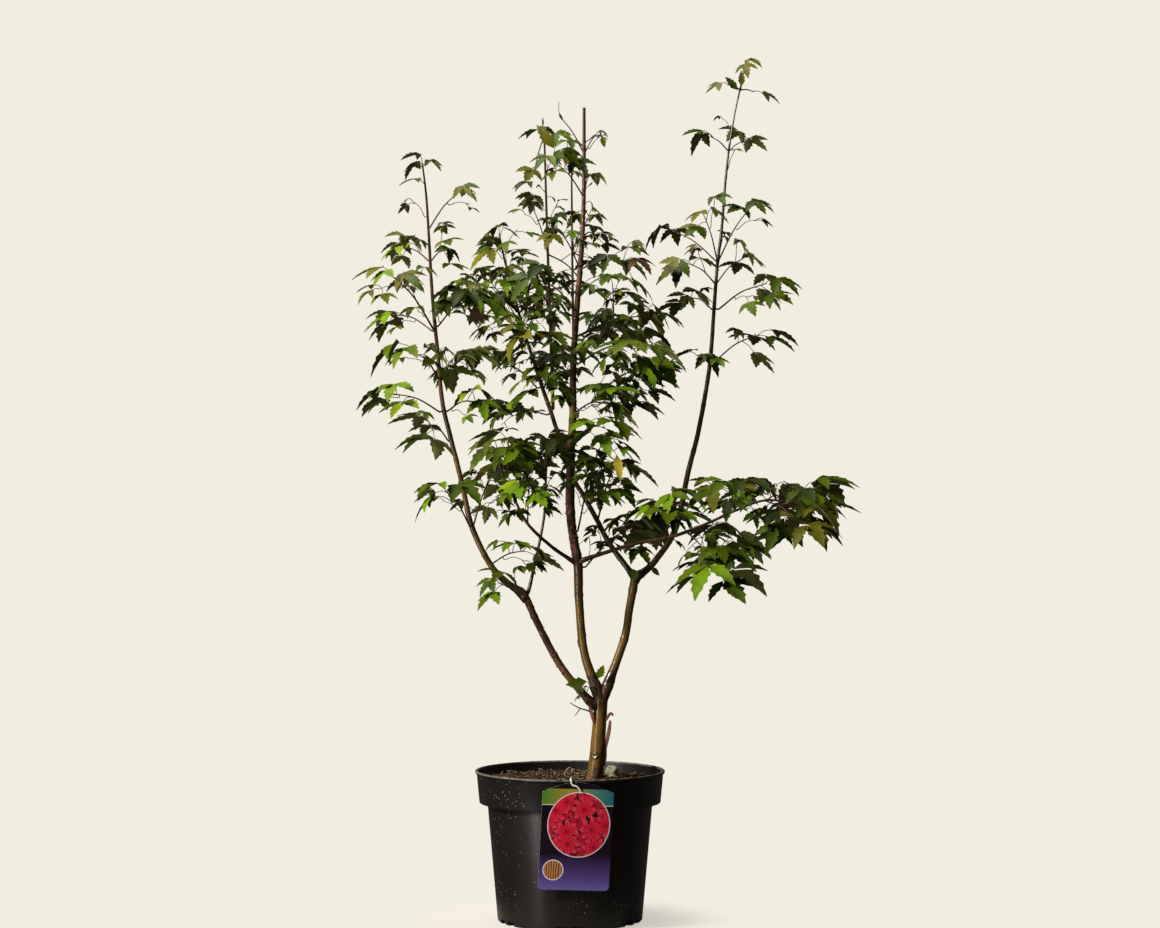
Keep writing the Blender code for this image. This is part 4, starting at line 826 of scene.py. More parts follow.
def colour_ramp(tree, value, stops):
    ramp = add(tree, "ShaderNodeValToRGB", {0: value})
    bands = ramp.color_ramp.elements
    bands[0].position, bands[0].color = stops[0]
    bands[1].position, bands[1].color = stops[-1]
    for position, colour in stops[1:-1]:
        bands.new(position).color = colour
    return ramp.outputs[0]


def print_finish():
    """A generic printed design: a round window of red petals, a tinted band above and a striped disc below."""
    look = bpy.context.scene.maple_label
    made, tree, shader = finish("label_print", 0.32, Specular_IOR_Level=0.25, Coat_Weight=0.08, Coat_Roughness=0.2)
    place = add(tree, "ShaderNodeUVMap", uv_map="print").outputs[0]
    parts = add(tree, "ShaderNodeSeparateXYZ", {0: place})
    across, up = parts.outputs["X"], parts.outputs["Y"]
    red = tuple(look.bloom)
    ground = colour_ramp(tree, up, ((0.0, (0.16, 0.13, 0.40, 1)), (0.12, (0.10, 0.055, 0.24, 1)),
                                    (0.34, tuple(look.ground)), (1.0, tinted(look.ground, 0.7))))
    white = (0.82, 0.80, 0.80, 1)
    band = colour_ramp(tree, across, ((0.05, (0.10, 0.26, 0.03, 1)), (0.40, (0.42, 0.28, 0.03, 1)),
                                      (0.72, (0.10, 0.24, 0.16, 1)), (0.98, (0.02, 0.16, 0.20, 1))))
    colour = colour_mix(tree, near_value(tree, up, 0.865, 0.075), ground, band)
    colour = colour_mix(tree, near_value(tree, up, 0.790, 0.003), colour, white)
    square = add(tree, "ShaderNodeVectorMath", {0: place, 1: (1, (LABEL_PEAK - LABEL_FOOT) / LABEL_WIDTH, 0)},
                 operation="MULTIPLY").outputs[0]
    picture = (0.022, 0.004, 0.007, 1)
    for scale, points, light in ((5.6, 9, 0.42), (4.3, 7, 0.75), (3.7, 8, 1.0)):
        flower, tone = blossoms(tree, square, scale, points)
        petals = colour_ramp(tree, tone, ((0.0, tinted(red, 0.30 * light)), (0.30, tinted(red, light)),
                                          (0.75, tinted(red, 1.35 * light)), (1.0, (0.85 * light, 0.10 * light, 0.15 * light, 1))))
        picture = colour_mix(tree, flower, picture, petals)
    window, far = ring_mask(tree, place, (0.530, 0.610), (0.435, 0.300), 0.004)
    colour = colour_mix(tree, window, colour, picture)
    colour = colour_mix(tree, near_value(tree, far, 1.0, 0.014), colour, white)
    disc, rim = ring_mask(tree, place, (0.200, 0.185), (0.140, 0.092), 0.01)
    stripes = add(tree, "ShaderNodeTexWave", {"Vector": place, "Scale": 9.0, "Distortion": 2.5, "Detail": 2.0},
                  bands_direction="X")
    wood = colour_ramp(tree, stripes.outputs["Fac"], ((0.1, (0.10, 0.028, 0.010, 1)), (0.5, (0.42, 0.15, 0.04, 1)),
                                                      (0.9, (0.66, 0.33, 0.12, 1))))
    colour = colour_mix(tree, disc, colour, wood)
    colour = colour_mix(tree, near_value(tree, rim, 1.0, 0.05), colour, white)
    tree.links.new(colour, shader.inputs["Base Color"])
    grain = effect(tree, "grain", scale=900.0, depth=0.00002, strength=0.4)
    tree.links.new(grain.outputs["Normal"], shader.inputs["Normal"])
    return made


def card_finish():
    look = bpy.context.scene.maple_label
    made, tree, shader = finish("label_card", 0.42)
    mottle = effect(tree, "mottle", first=look.card, second=tinted(look.card, 0.82), scale=60.0)
    tree.links.new(mottle.outputs["Colour"], shader.inputs["Base Color"])
    grain = effect(tree, "grain", scale=700.0, depth=0.00003)
    tree.links.new(grain.outputs["Normal"], shader.inputs["Normal"])
    return made


def make_label():
    """The printed card, bowed a little, and the white strip that hooks it over the lip."""
    look = bpy.context.scene.maple_label
    across, up = 44, 40
    half = LABEL_WIDTH / 2
    roll = Matrix.Rotation(LABEL_ROLL, 2)
    turn = Matrix.Rotation(LABEL_TURN, 3, "Z")
    pivot = Vector((0, LABEL_PEAK))
    points, prints = [], []
    for layer, thick in (("front", 0.9), ("back", 0.15)):
        for j in range(up + 1):
            for i in range(across + 1):
                u = 0.5 - 0.5 * math.cos(math.pi * i / across)
                x = (u - 0.5) * LABEL_WIDTH
                inset = max(0.0, LABEL_CORNER - (half - abs(x)))
                low = LABEL_FOOT + LABEL_CORNER - math.sqrt(max(0.0, LABEL_CORNER ** 2 - inset ** 2))
                high = LABEL_SHOULDER + (LABEL_PEAK - LABEL_SHOULDER) * math.sin(math.pi * u)
                z = low + (high - low) * j / up
                flat = roll @ (Vector((x, z)) - pivot) + pivot
                bow = look.bow / MM * math.sin(math.pi * j / up) * (1 - (2 * u - 1) ** 2)
                points.append(turn @ Vector((flat.x, -lean(flat.y) - thick - bow, flat.y)))
                prints.append((u, (z - LABEL_FOOT) / (LABEL_PEAK - LABEL_FOOT)))
    wide, layer = across + 1, (across + 1) * (up + 1)
    faces, which = [], []
    for j in range(up):
        for i in range(across):
            k = j * wide + i
            faces += [(k, k + 1, k + 1 + wide, k + wide), (k + layer, k + layer + wide, k + layer + wide + 1, k + layer + 1)]
            which += [0, 1]
    border = [i for i in range(across)] + [wide - 1 + j * wide for j in range(up)]
    border += [layer - 1 - i for i in range(across)] + [wide * (up - j) for j in range(up)]
    for k, after in zip(border, border[1:] + border[:1]):
        faces.append((after, k, k + layer, after + layer))
        which.append(1)
    card = new_piece("label_card", points, faces, [print_finish(), card_finish()], which, angle=30)
    uv = card.data.uv_layers.new(name="print")
    uv.data.foreach_set("uv", [c for loop in card.data.loops for c in prints[loop.vertex_index]])
    place_piece(card, "label_card", "plant_label")

    front, back, top = LIP_RADIUS + 2.1, inner_collar(POT_HEIGHT) - 1.0, POT_HEIGHT + 1.0
    route = [(-11.5, back - 1.0, HOOK_END, HOOK_HALF), (-11.0, back, top - 3, HOOK_HALF)]
    route += [(-10.4, depth, height, HOOK_HALF) for depth, height in arc(((front + back) / 2, top - 1.6), (front - back) / 2, 180, 0, 7)]
    route += [(-8.6, front + 0.5, LABEL_PEAK - 3, HOOK_HALF), (-3.6, front + 0.6, LABEL_PEAK - 4.5, HOOK_HALF),
              (0.4, front + 0.5, LABEL_PEAK - 8.0, HOOK_HALF), (1.8, front, LABEL_PEAK - 12.5, HOOK_HALF * 0.8)]
    line = smooth_line(route, 1.2)

    def flat_radius(k, here, way):
        along = (line[min(k + 1, len(line) - 1)].xyz - line[max(k - 1, 0)].xyz).normalized()
        thin = way.dot(along.cross(Vector((1, 0, 0))).normalized()) / HOOK_THICK
        return 1 / math.sqrt(thin ** 2 + (1 - (thin * HOOK_THICK) ** 2) / here.w ** 2)

    points, faces = tube(line, 12, None, flat_radius)
    hook = new_piece("label_hook", [turn @ Vector((p.x, -p.y, p.z)) for p in points], [f[::-1] for f in faces],
                     [card.data.materials[1]], angle=70)
    place_piece(hook, "label_card", "plant_label")


def recalc(mesh):
    """Turns a closed mesh's faces outwards."""
    form = bmesh.new()
    form.from_mesh(mesh)
    bmesh.ops.recalc_face_normals(form, faces=form.faces)
    form.to_mesh(mesh)
    form.free()


# Lines and tubes, as in the source

def smooth_line(points, step):
    """Points about a step apart on a smooth curve through the given points, each (x, y, z, radius)."""
    rows = [Vector(p) for p in points]
    rows = [2 * rows[0] - rows[1]] + rows + [2 * rows[-1] - rows[-2]]
    line = []
    for before, here, after, later in zip(rows, rows[1:], rows[2:], rows[3:]):
        count = max(1, round((after - here).length / step))
        for k in range(count):
            t = k / count
            line.append(0.5 * (2 * here + (after - before) * t + (2 * before - 5 * here + 4 * after - later) * t ** 2
                               + (3 * here - before - 3 * after + later) * t ** 3))
    line.append(rows[-2])
    return line


def runs(line):
    """Distance along a line to each of its points."""
    total = [0.0]
    for here, after in zip(line, line[1:]):
        total.append(total[-1] + (after.xyz - here.xyz).length)
    return total


def part_of(line, start, end):
    """The stretch of a line between two distances along it."""
    along = runs(line)

    def at(run):
        for k in range(len(line) - 1):
            if run <= along[k + 1] or k == len(line) - 2:
                return line[k].lerp(line[k + 1], (run - along[k]) / (along[k + 1] - along[k]))

    inner = [p for p, run in zip(line, along) if start + 2 < run < end - 2]
    return [at(start)] + inner + [at(end)]


def run_at(line, height):
    """Distance along a line where it first rises to a height."""
    for here, after, run in zip(line, line[1:], runs(line)):
        if here.z < height <= after.z:
            return run + (after.xyz - here.xyz).length * (height - here.z) / (after.z - here.z)
    return runs(line)[-1]


def heading(line, run):
    """A line's direction at a distance along it."""
    ends = part_of(line, max(run - 3, 0), min(run + 3, runs(line)[-1]))
    return (ends[-1].xyz - ends[0].xyz).normalized()


def tube(line, sides, first=None, shape=None):
    """Points and faces of a closed tube round a line; shape may change the radius at (ring, angle, centre, way)."""
    points = []
    side = None
    for k, here in enumerate(line):
        before = line[max(k - 1, 0)].xyz
        after = line[min(k + 1, len(line) - 1)].xyz
        forward = (after - before).normalized()
        if k == 0 and first is not None:
            forward = first
        if side is None:
            side = forward.orthogonal().normalized()
        side = (side - forward * side.dot(forward)).normalized()
        across = forward.cross(side)
        for j in range(sides):
            angle = math.tau * j / sides
            way = side * math.cos(angle) + across * math.sin(angle)
            radius = shape(k, here, way) if shape else here.w
            points.append(here.xyz + radius * way)
    return points, ring_faces(len(line), sides)


def ribbon(line, thin, thick):
    """Points and faces of a flat strip along a line, as wide as the line's radius and thin in one direction."""
    points = []
    for k, here in enumerate(line):
        forward = (line[min(k + 1, len(line) - 1)].xyz - line[max(k - 1, 0)].xyz).normalized()
        wide = forward.cross(thin).normalized()
        flat = forward.cross(wide)
        for across, up in ((1, 0), (0.6, 1), (-0.6, 1), (-1, 0), (-0.6, -1), (0.6, -1)):
            points.append(here.xyz + wide * (across * here.w) + flat * (up * thick / 2))
    return points, ring_faces(len(line), 6)


def ring_faces(rings, sides):
    """Faces of a closed tube made of rings of points."""
    faces = []
    for k in range(rings - 1):
        for j in range(sides):
            low = k * sides
            after = (j + 1) % sides
            faces.append((low + j, low + after, low + sides + after))
            faces.append((low + j, low + sides + after, low + sides + j))
    faces.append(tuple(reversed(range(sides))))
    faces.append(tuple(range((rings - 1) * sides, rings * sides)))
    return faces


def tree_of(points, faces):
    return BVHTree.FromPolygons([tuple(p) for p in points], faces)


def limb_lines():
    """Each limb's whole line, and the distances along it where its own solid starts and ends."""
    lines = {}
    for name, limb in LIMBS.items():
        line = smooth_line(limb["line"], limb["step"])
        end = runs(line)[-1]
        if "end" in limb:
            end = run_at(line, limb["end"])
        if "end_run" in limb:
            end = limb["end_run"]
        lines[name] = (line, limb["start"], end)
    return lines


def limb_trees():
    """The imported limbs' own facets, in millimetres, for the tests of clearance."""
    trees = {}
    for name in LIMBS:
        mesh = frame["nodes"][name].data
        trees[name] = tree_of([v.co / MM for v in mesh.vertices], [tuple(p.vertices) for p in mesh.polygons])
    return trees


# Bark

def bark_finish():
    """Bark by age: glossy purple-brown shoots, bronze limbs, and rough cinnamon where it peels."""
    look = bpy.context.scene.maple_bark
    made, tree, shader = finish("bark", 0.5, Specular_IOR_Level=0.6)
    age = add(tree, "ShaderNodeAttribute", attribute_name="age").outputs["Fac"]
    peel = add(tree, "ShaderNodeAttribute", attribute_name="peel").outputs["Fac"]
    scar = add(tree, "ShaderNodeAttribute", attribute_name="scar").outputs["Fac"]
    young = effect(tree, "mottle", first=look.young, second=tinted(look.young, 0.45), scale=55.0, stretch=(1, 1, 0.25))
    old = effect(tree, "mottle", first=look.old, second=(0.085, 0.044, 0.008, 1), scale=60.0, stretch=(1, 1, 0.2),
                 contrast=0.25)
    paper = effect(tree, "mottle", first=look.papery, second=(0.050, 0.017, 0.010, 1), scale=150.0,
                   stretch=(1, 1, 1.5), contrast=0.12)
    colour = colour_mix(tree, age, young.outputs[0], old.outputs[0])
    patches = effect(tree, "mottle", scale=95.0, stretch=(1, 1, 0.7), contrast=0.08)
    shown = add(tree, "ShaderNodeMath", {0: patches.outputs["Mask"], 1: 0.75, 2: -0.75}, operation="MULTIPLY_ADD")
    shown = add(tree, "ShaderNodeMath", {0: peel, 1: shown.outputs[0]}, operation="ADD")
    shown = add(tree, "ShaderNodeMapRange", {"Value": shown.outputs[0], "From Min": 0.0, "From Max": 0.25}).outputs[0]
    colour = colour_mix(tree, shown, colour, paper.outputs[0])
    dots = effect(tree, "specks", scale=420.0, stretch=(1, 1, 2.0), size=0.2, share=0.5)
    faint = add(tree, "ShaderNodeMath", {0: dots.outputs[0], 1: 0.12}, operation="MULTIPLY").outputs[0]
    colour = colour_mix(tree, faint, colour, (0.30, 0.20, 0.11, 1))
    # Darkest at the pruning scar's own dark arch, and with painted shade at each stem's foot and the trunk's top where
    # the limbs join.
    colour = colour_mix(tree, scar, colour, (0.040, 0.018, 0.010, 1))
    tree.links.new(colour, shader.inputs["Base Color"])
    rough = add(tree, "ShaderNodeMapRange", {"Value": shown, "To Min": 0.27, "To Max": 0.75})
    tree.links.new(rough.outputs[0], shader.inputs["Roughness"])
    rougher = add(tree, "ShaderNodeMapRange", {"Value": shown, "To Min": 0.25, "To Max": 1.0})
    fine = effect(tree, "grain", scale=420.0, stretch=(1, 1, 0.4), depth=0.0004, strength=rougher.outputs[0])
    tree.links.new(fine.outputs["Normal"], shader.inputs["Normal"])
    return made


def papery(name, height):
    """How far the bark peels at a height of a limb, from 0 to 1, fading at the ends of each stretch."""
    most = 0.0
    for limb, low, high, strength in PAPERY:
        if limb == name:
            most = max(most, strength * min(1, max(0, (height - low) / 14 + 0.5), max(0, (high - height) / 14 + 0.5)))
    return most


def bark_tube(name, relief):
    """One limb's whole surface from its parent's middle to its tip, with relief, knuckles and its masks."""
    line = smooth_line(LIMBS[name]["line"], RING_STEP)
    if name == "trunk":
        line = [Vector((33, 0, SOIL_TOP - 3, 14.6))] + line
    along = runs(line)
    total = along[-1]
    thickest = max(p.w for p in line)
    sides = 36 if name == "trunk" else 24 if thickest > 4.5 else 16
    seed = 3.7 * list(LIMBS).index(name)
    masks = {"age": [], "peel": [], "scar": [], "loose": []}

    def radius(k, here, way):
        point = here.xyz + way * here.w
        peel = papery(name, here.z)
        age = min(1.0, max(0.0, (here.w - 2.0) / 3.2))
        spot = Vector((point.x / 5 + seed, point.y / 5, point.z / 17))
        swell = 0.055 * here.w * noise.noise(spot)
        ridges = noise.noise(Vector((point.x / 1.7, point.y / 1.7 + seed, point.z / 6.5)))
        scales = abs(noise.noise(Vector((point.x / 3.2 + seed, point.y / 3.2, point.z / 3.6))))
        lift = relief / MM * ((0.22 + 1.0 * peel) * ridges + 1.5 * peel * (scales - 0.3))
        node = abs((along[k] + 11 * math.sin(along[k] / 97 + seed)) % KNUCKLE - KNUCKLE / 2)
        knuckle = 0.10 * here.w * math.exp(-(node / 2.4) ** 2) if 20 < along[k] < total - 8 and name != "trunk" else 0
        collar = 0.30 * here.w * math.exp(-max(0, along[k] - LIMBS[name]["start"]) / 7) if name != "trunk" else 0
        flare = 0.0
        if name == "trunk":
            lobes = 0.5 + 0.5 * math.sin(3 * math.atan2(way.y, way.x) + 0.6)
            flare = (1.4 * lobes - 2.0) * math.exp(-max(0.0, here.z - SOIL_TOP) / 9)
        # Each stem is painted darker at its foot, where it leaves its parent, and the trunk at its top inside the fork:
        # painted shade where the limbs join.
        scar = 0.85 * math.exp(-max(0, along[k] - LIMBS[name]["start"] - 8) / 16) if "stem" in name else 0.0
        if name == "trunk":
            scar = 0.7 * max(0.0, (here.z - 297) / 9)
        if name == "trunk" and way.y < 0:
            far = math.hypot(point.x - SCAR["x"], point.z - SCAR["height"])
            lift += 1.2 * math.exp(-((far - SCAR["ring"]) / 1.1) ** 2) - 0.5 * math.exp(-(far / 2.0) ** 2)
            above = min(1.0, max(0.15, 0.5 + (point.z - SCAR["height"]) / 3))
            scar = max(scar, above * math.exp(-((far - SCAR["ring"] - 1.4) / 1.5) ** 2))
        masks["age"].append(age)
        masks["peel"].append(peel)
        masks["scar"].append(scar)
        masks["loose"].append(max(0.0, (peel - 0.6) / 0.4))
        return max(0.35, here.w + swell + lift * min(1, here.w / 3) + knuckle + collar + flare)

    points, faces = tube(line, sides, Vector((0, 0, 1)) if name == "trunk" else None, radius)
    return points, faces, masks


def make_bark():
    """Trunk, stems and boughs in one piece with the bark's relief, and curled flakes where it peels."""
    look = bpy.context.scene.maple_bark
    points, faces = [], []
    masks = {"age": [], "peel": [], "scar": [], "loose": []}
    for name in LIMBS:
        own, around, own_masks = bark_tube(name, look.relief)
        faces += [tuple(k + len(points) for k in face) for face in around]
        points += own
        for key, values in own_masks.items():
            masks[key] += values
    limbs = new_piece("bark_limbs", points, faces, [bark_finish()], angle=60)
    for key, values in masks.items():
        set_mask(limbs.data, key, values)
    place_piece(limbs, "bark", *LIMBS)
    made, tree, shader = finish("bark_flake", 0.72, Specular_IOR_Level=0.3)
    tone = effect(tree, "mottle", first=(0.27, 0.105, 0.062, 1), second=(0.085, 0.028, 0.018, 1), scale=180.0)
    tree.links.new(tone.outputs["Colour"], shader.inputs["Base Color"])
    grain = effect(tree, "grain", scale=900.0, depth=0.0002)
    tree.links.new(grain.outputs["Normal"], shader.inputs["Normal"])
    flakes = strew("bark_flakes", limbs, curl("curl"), made, mask="loose", density=look.flakes, seed=5,
                   smallest=0.3, largest=1.0, tilt=0.25)
    place_piece(flakes, "bark")
    strip_points, strip_faces = [], []
    for rows, thin in LOOSE_BARK:
        own, around = ribbon(smooth_line(rows, 1.5), Vector(thin), LOOSE_THICK)
        strip_faces += [tuple(k + len(strip_points) for k in face) for face in around]
        strip_points += own
    place_piece(new_piece("loose_bark", strip_points, strip_faces, [made], angle=70), "bark")
    twig_points, twig_faces = [], []
    for rows in DEAD_TWIG:
        own, around = tube(smooth_line(rows, 3), 7)
        twig_faces += [tuple(k + len(twig_points) for k in face) for face in around]
        twig_points += own
    for rows in BUDS:
        own, around = tube(smooth_line(rows, 1.5), 7)
        twig_faces += [tuple(k + len(twig_points) for k in face) for face in around]
        twig_points += own
    dead = new_piece("dead_twig", twig_points, twig_faces, [earthy("dead_wood", (0.12, 0.075, 0.050, 1),
                                                                    (0.045, 0.026, 0.018, 1), 200.0, 0.0004)])
    place_piece(dead, "bark")


def curl(name):
    """A thin flake, held along one edge and rolled away from the limb."""
    across, steps, thick = 4, 6, 0.16
    rng = random.Random(4)
    ragged = [(rng.uniform(-0.5, 0.3), rng.uniform(-0.3, 0.5)) for _ in range(steps + 1)]
    points = []
    for skin in (0, thick):
        for k in range(steps + 1):
            angle = 1.9 * k / steps
            radius = 2.3 - skin
            low, high = -2.1 + ragged[k][0], 2.1 + ragged[k][1]
            for j in range(across + 1):
                points.append((radius * math.sin(angle) - 0.4, low + (high - low) * j / across,
                               2.3 - radius * math.cos(angle) - 0.25))
    wide, layer = across + 1, (across + 1) * (steps + 1)
    faces = []
    for k in range(steps):
        for j in range(across):
            a = k * wide + j
            faces += [(a, a + wide, a + wide + 1, a + 1), (a + layer, a + layer + 1, a + layer + wide + 1, a + layer + wide)]
    border = list(range(across)) + [across + k * wide for k in range(steps)]
    border += [layer - 1 - j for j in range(across)] + [wide * (steps - k) for k in range(steps)]
    faces += [(k, after, after + layer, k + layer) for k, after in zip(border, border[1:] + border[:1])]
    made = new_piece(name, points, faces, [])
    recalc(made.data)
    return made


# Growth by the source's rule

def swollen(points, faces):
    """The same shape with each point pushed out by the clearance."""
    push = [Vector() for _ in points]
    middle = sum((Vector(p) for p in points), Vector()) / len(points)
    for face in faces:
        a, b, c = (Vector(points[j]) for j in face[:3])
        normal = (b - a).cross(c - a).normalized()
        for j in face:
            push[j] += normal
    flip = 1 if sum((Vector(p) - middle).dot(n) for p, n in zip(points, push)) > 0 else -1
    return [Vector(p) + n.normalized() * CLEARANCE * flip for p, n in zip(points, push)]


def foot_on(line, spot, shape, towards):
    """The place on a limb's facet that faces a tip, a gap clear of it, with the facet's normal."""
    nearest = min(line, key=lambda p: (p.x - spot[0]) ** 2 + (p.z - spot[1]) ** 2)
    middle = Vector((nearest.x, nearest.y, spot[1] if abs(nearest.z - spot[1]) < 30 else nearest.z))
    for here, after in zip(line, line[1:]):
        if min(here.z, after.z) <= spot[1] <= max(here.z, after.z) and here is nearest or after is nearest:
            share = 0 if after.z == here.z else min(1, max(0, (spot[1] - here.z) / (after.z - here.z)))
            middle = here.xyz.lerp(after.xyz, share)
            break
    away = (towards - middle)
    away.z *= 0.3
    away.normalize()
    hit, normal, _, _ = shape.ray_cast(middle + away * 40, -away)
    return hit + normal * GAP, normal


def twig_line(foot, normal, tip, radius):
    """A twig's line: straight off the bark, then in a low arch to its tip."""
    length = (tip - foot).length
    rise = Vector((0, 0, 0.07 * length))
    lead = foot + normal * min(4, 0.2 * length)
    middle = foot.lerp(tip, 0.5) + rise
    rows = [(*foot, radius), (*lead, radius * 0.95), (*middle, radius * 0.9), (*tip, radius * 0.85)]
    return smooth_line(rows, max(26, 0.45 * length)), rows


def leaf_place(rng, root, forward, aside, length):
    """Where one leaf sits: its stalk's two ends, and the blade's three directions."""
    spread = rng.uniform(0.7, 1.1)
    lift = rng.uniform(0.05, 0.45)
    stalk = (forward * rng.uniform(0.3, 0.7) + aside * spread + Vector((0, 0, lift))).normalized()
    joint = root + stalk * length * rng.uniform(0.34, 0.52)
    fall = rng.uniform(0.30, 1.15)
    ahead = Vector((stalk.x, stalk.y, 0))
    if ahead.length < 0.2:
        ahead = Vector((forward.x, forward.y, 0)) + Vector((0.05, 0.03, 0))
    ahead = (ahead.normalized() + Vector((0, 0, -fall))).normalized()
    across = ahead.cross(Vector((0, 0, 1))).normalized()
    up = across.cross(ahead)
    roll = rng.uniform(-0.5, 0.5)
    side = across * math.cos(roll) + up * math.sin(roll)
    return root, joint, ahead, side, side.cross(ahead)


def leaf_shape(place, length):
    """Points and faces of the source's plain leaf, for the tests of clearance."""
    root, joint, ahead, side, up = place

    def on_blade(forward, aside, height=0.0):
        bend = -LEAF_FALL * forward * abs(forward) - LEAF_WING * aside * aside
        return joint + length * (ahead * forward + side * aside + up * bend) + up * height

    half = STALK_RADIUS * 0.9 / length
    edge = [on_blade(-0.02, half)] + [on_blade(f, a) for f, a in LEAF_EDGE] + [on_blade(1, 0)]
    edge += [on_blade(f, -a) for f, a in reversed(LEAF_EDGE)] + [on_blade(-0.02, -half)]
    count = len(edge)
    points = edge + [on_blade(LEAF_HUB, 0, LEAF_HALF_THICK), on_blade(LEAF_HUB, 0, -LEAF_HALF_THICK)]
    top, under = count, count + 1
    points.append(on_blade(-0.02, 0, -STALK_RADIUS * 1.3))
    keel = count + 2
    stalk = (joint - root).normalized()
    wide = (side - stalk * side.dot(stalk)).normalized()
    deep = wide.cross(stalk)
    if deep.dot(up) < 0:
        deep = -deep
    points += [root + wide * STALK_ROOT, root - wide * STALK_ROOT, root - deep * STALK_ROOT, root + deep * STALK_ROOT]
    right, left, low, high = range(count + 3, count + 7)
    faces = [(top, k, k + 1) for k in range(count - 1)] + [(top, count - 1, 0)]
    faces += [(under, k + 1, k) for k in range(count - 1)]
    faces += [(under, 0, keel), (under, keel, count - 1)]
    faces += [(0, count - 1, high), (0, high, right), (count - 1, left, high), (right, high, left), (right, left, low)]
    faces += [(keel, 0, right), (keel, right, low), (count - 1, keel, left), (keel, low, left)]
    return points, faces


def grow(lines, shapes):
    """Every mass's twigs and leaves, placed as the source places them, with what takes up their room."""
    solids = [(None, shape) for shape in shapes.values()]
    masses = {}
    for name, (limb, rows) in MASSES.items():
        line, start, end = lines[limb]
        twigs = []
        main = None
        for foot, tip, count, length in rows:
            normal = None
            fine = None
            if foot is None:
                twig = part_of(line, end + GAP, runs(line)[-1])
                normal = heading(line, end)
            elif main is None:
                tip = Vector(tip)
                own = part_of(line, start, end)
                foot, normal = foot_on(own, foot, shapes[limb], tip)
                twig, fine = twig_line(foot, normal, tip, 1.25 + 0.005 * (tip - foot).length)
            else:
                tip = Vector(tip)
                near = min(main[1:], key=lambda p: (p.x - foot[0]) ** 2 + (p.z - foot[1]) ** 2)
                away = (tip - near.xyz).normalized()
                twig, fine = twig_line(near.xyz, away, tip, max(1.3, min(1.5, 0.85 * near.w)))
            if main is None:
                main = twig
            shape = tube(twig, 4 if foot is not None else 5, normal)
            twigs.append((twig, shape, count, length, fine))
        for twig, shape, _, _, _ in twigs:
            solids.append((name, tree_of(*shape)))
        masses[name] = dict(twigs=twigs, leaves=[], shoots=[])
    for number, (name, mass) in enumerate(masses.items()):
        rng = random.Random(SEEDS.get(name, 100 + number))
        for twig, _, count, length, _ in mass["twigs"]:
            grow_leaves(rng, name, mass["leaves"], twig, count, length, solids)
    return masses, solids


def grow_leaves(rng, name, leaves, twig, count, length, solids):
    """One leaf at the twig's tip, then opposite pairs down the twig, each a quarter turn from the last."""
    total = runs(twig)[-1]
    start = rng.uniform(0, math.pi)
    spots = [(total - 2.5, None, 0.85)]
    for k in range(count - 1):
        run = total - 6 - (k // 2) * min(0.26 * total, 24) - (k % 2) * 3
        spots.append((run, start + (k // 2) * math.pi / 2 + (k % 2) * math.pi, 1.0 - 0.03 * k))
    for run, turn, share in spots[:count]:
        if run < STALK_START:
            continue
        here, after = part_of(twig, run, run + 2)[0:2]
        forward = (after.xyz - here.xyz).normalized()
        flat = forward.cross(Vector((0, 0, 1)))
        flat = flat.normalized() if flat.length > 0.05 else Vector((1, 0, 0))
        for _ in range(TRIES):
            angle = (turn or 0) + rng.uniform(-0.35, 0.35)
            aside = flat * math.cos(angle) + flat.cross(forward) * math.sin(angle)
            if turn is None:
                aside = aside * 0.3 + forward
            size = length * share * rng.uniform(0.85, 1.12)
            place = leaf_place(rng, here.xyz, forward, aside, size)
            shape = leaf_shape(place, size)
            if clear(name, shape, solids):
                leaves.append((place, size))
                solids.append((name, tree_of(*blade_only(shape))))
                break


def blade_only(shape):
    """The blade without its stalk's root."""
    points, faces = shape
    count = len(points)
    return points, [face for face in faces if max(face) < count - 4]


def clear(name, shape, solids):
    """Whether a leaf keeps its clearance to every limb and to all that has grown."""
    points, faces = shape
    grown = swollen(points, faces)
    whole = tree_of(grown, faces)
    blade = tree_of(grown, blade_only(shape)[1])
    for owner, other in solids:
        if (blade if owner == name else whole).overlap(other):
            return False
    return True


# Finer growth

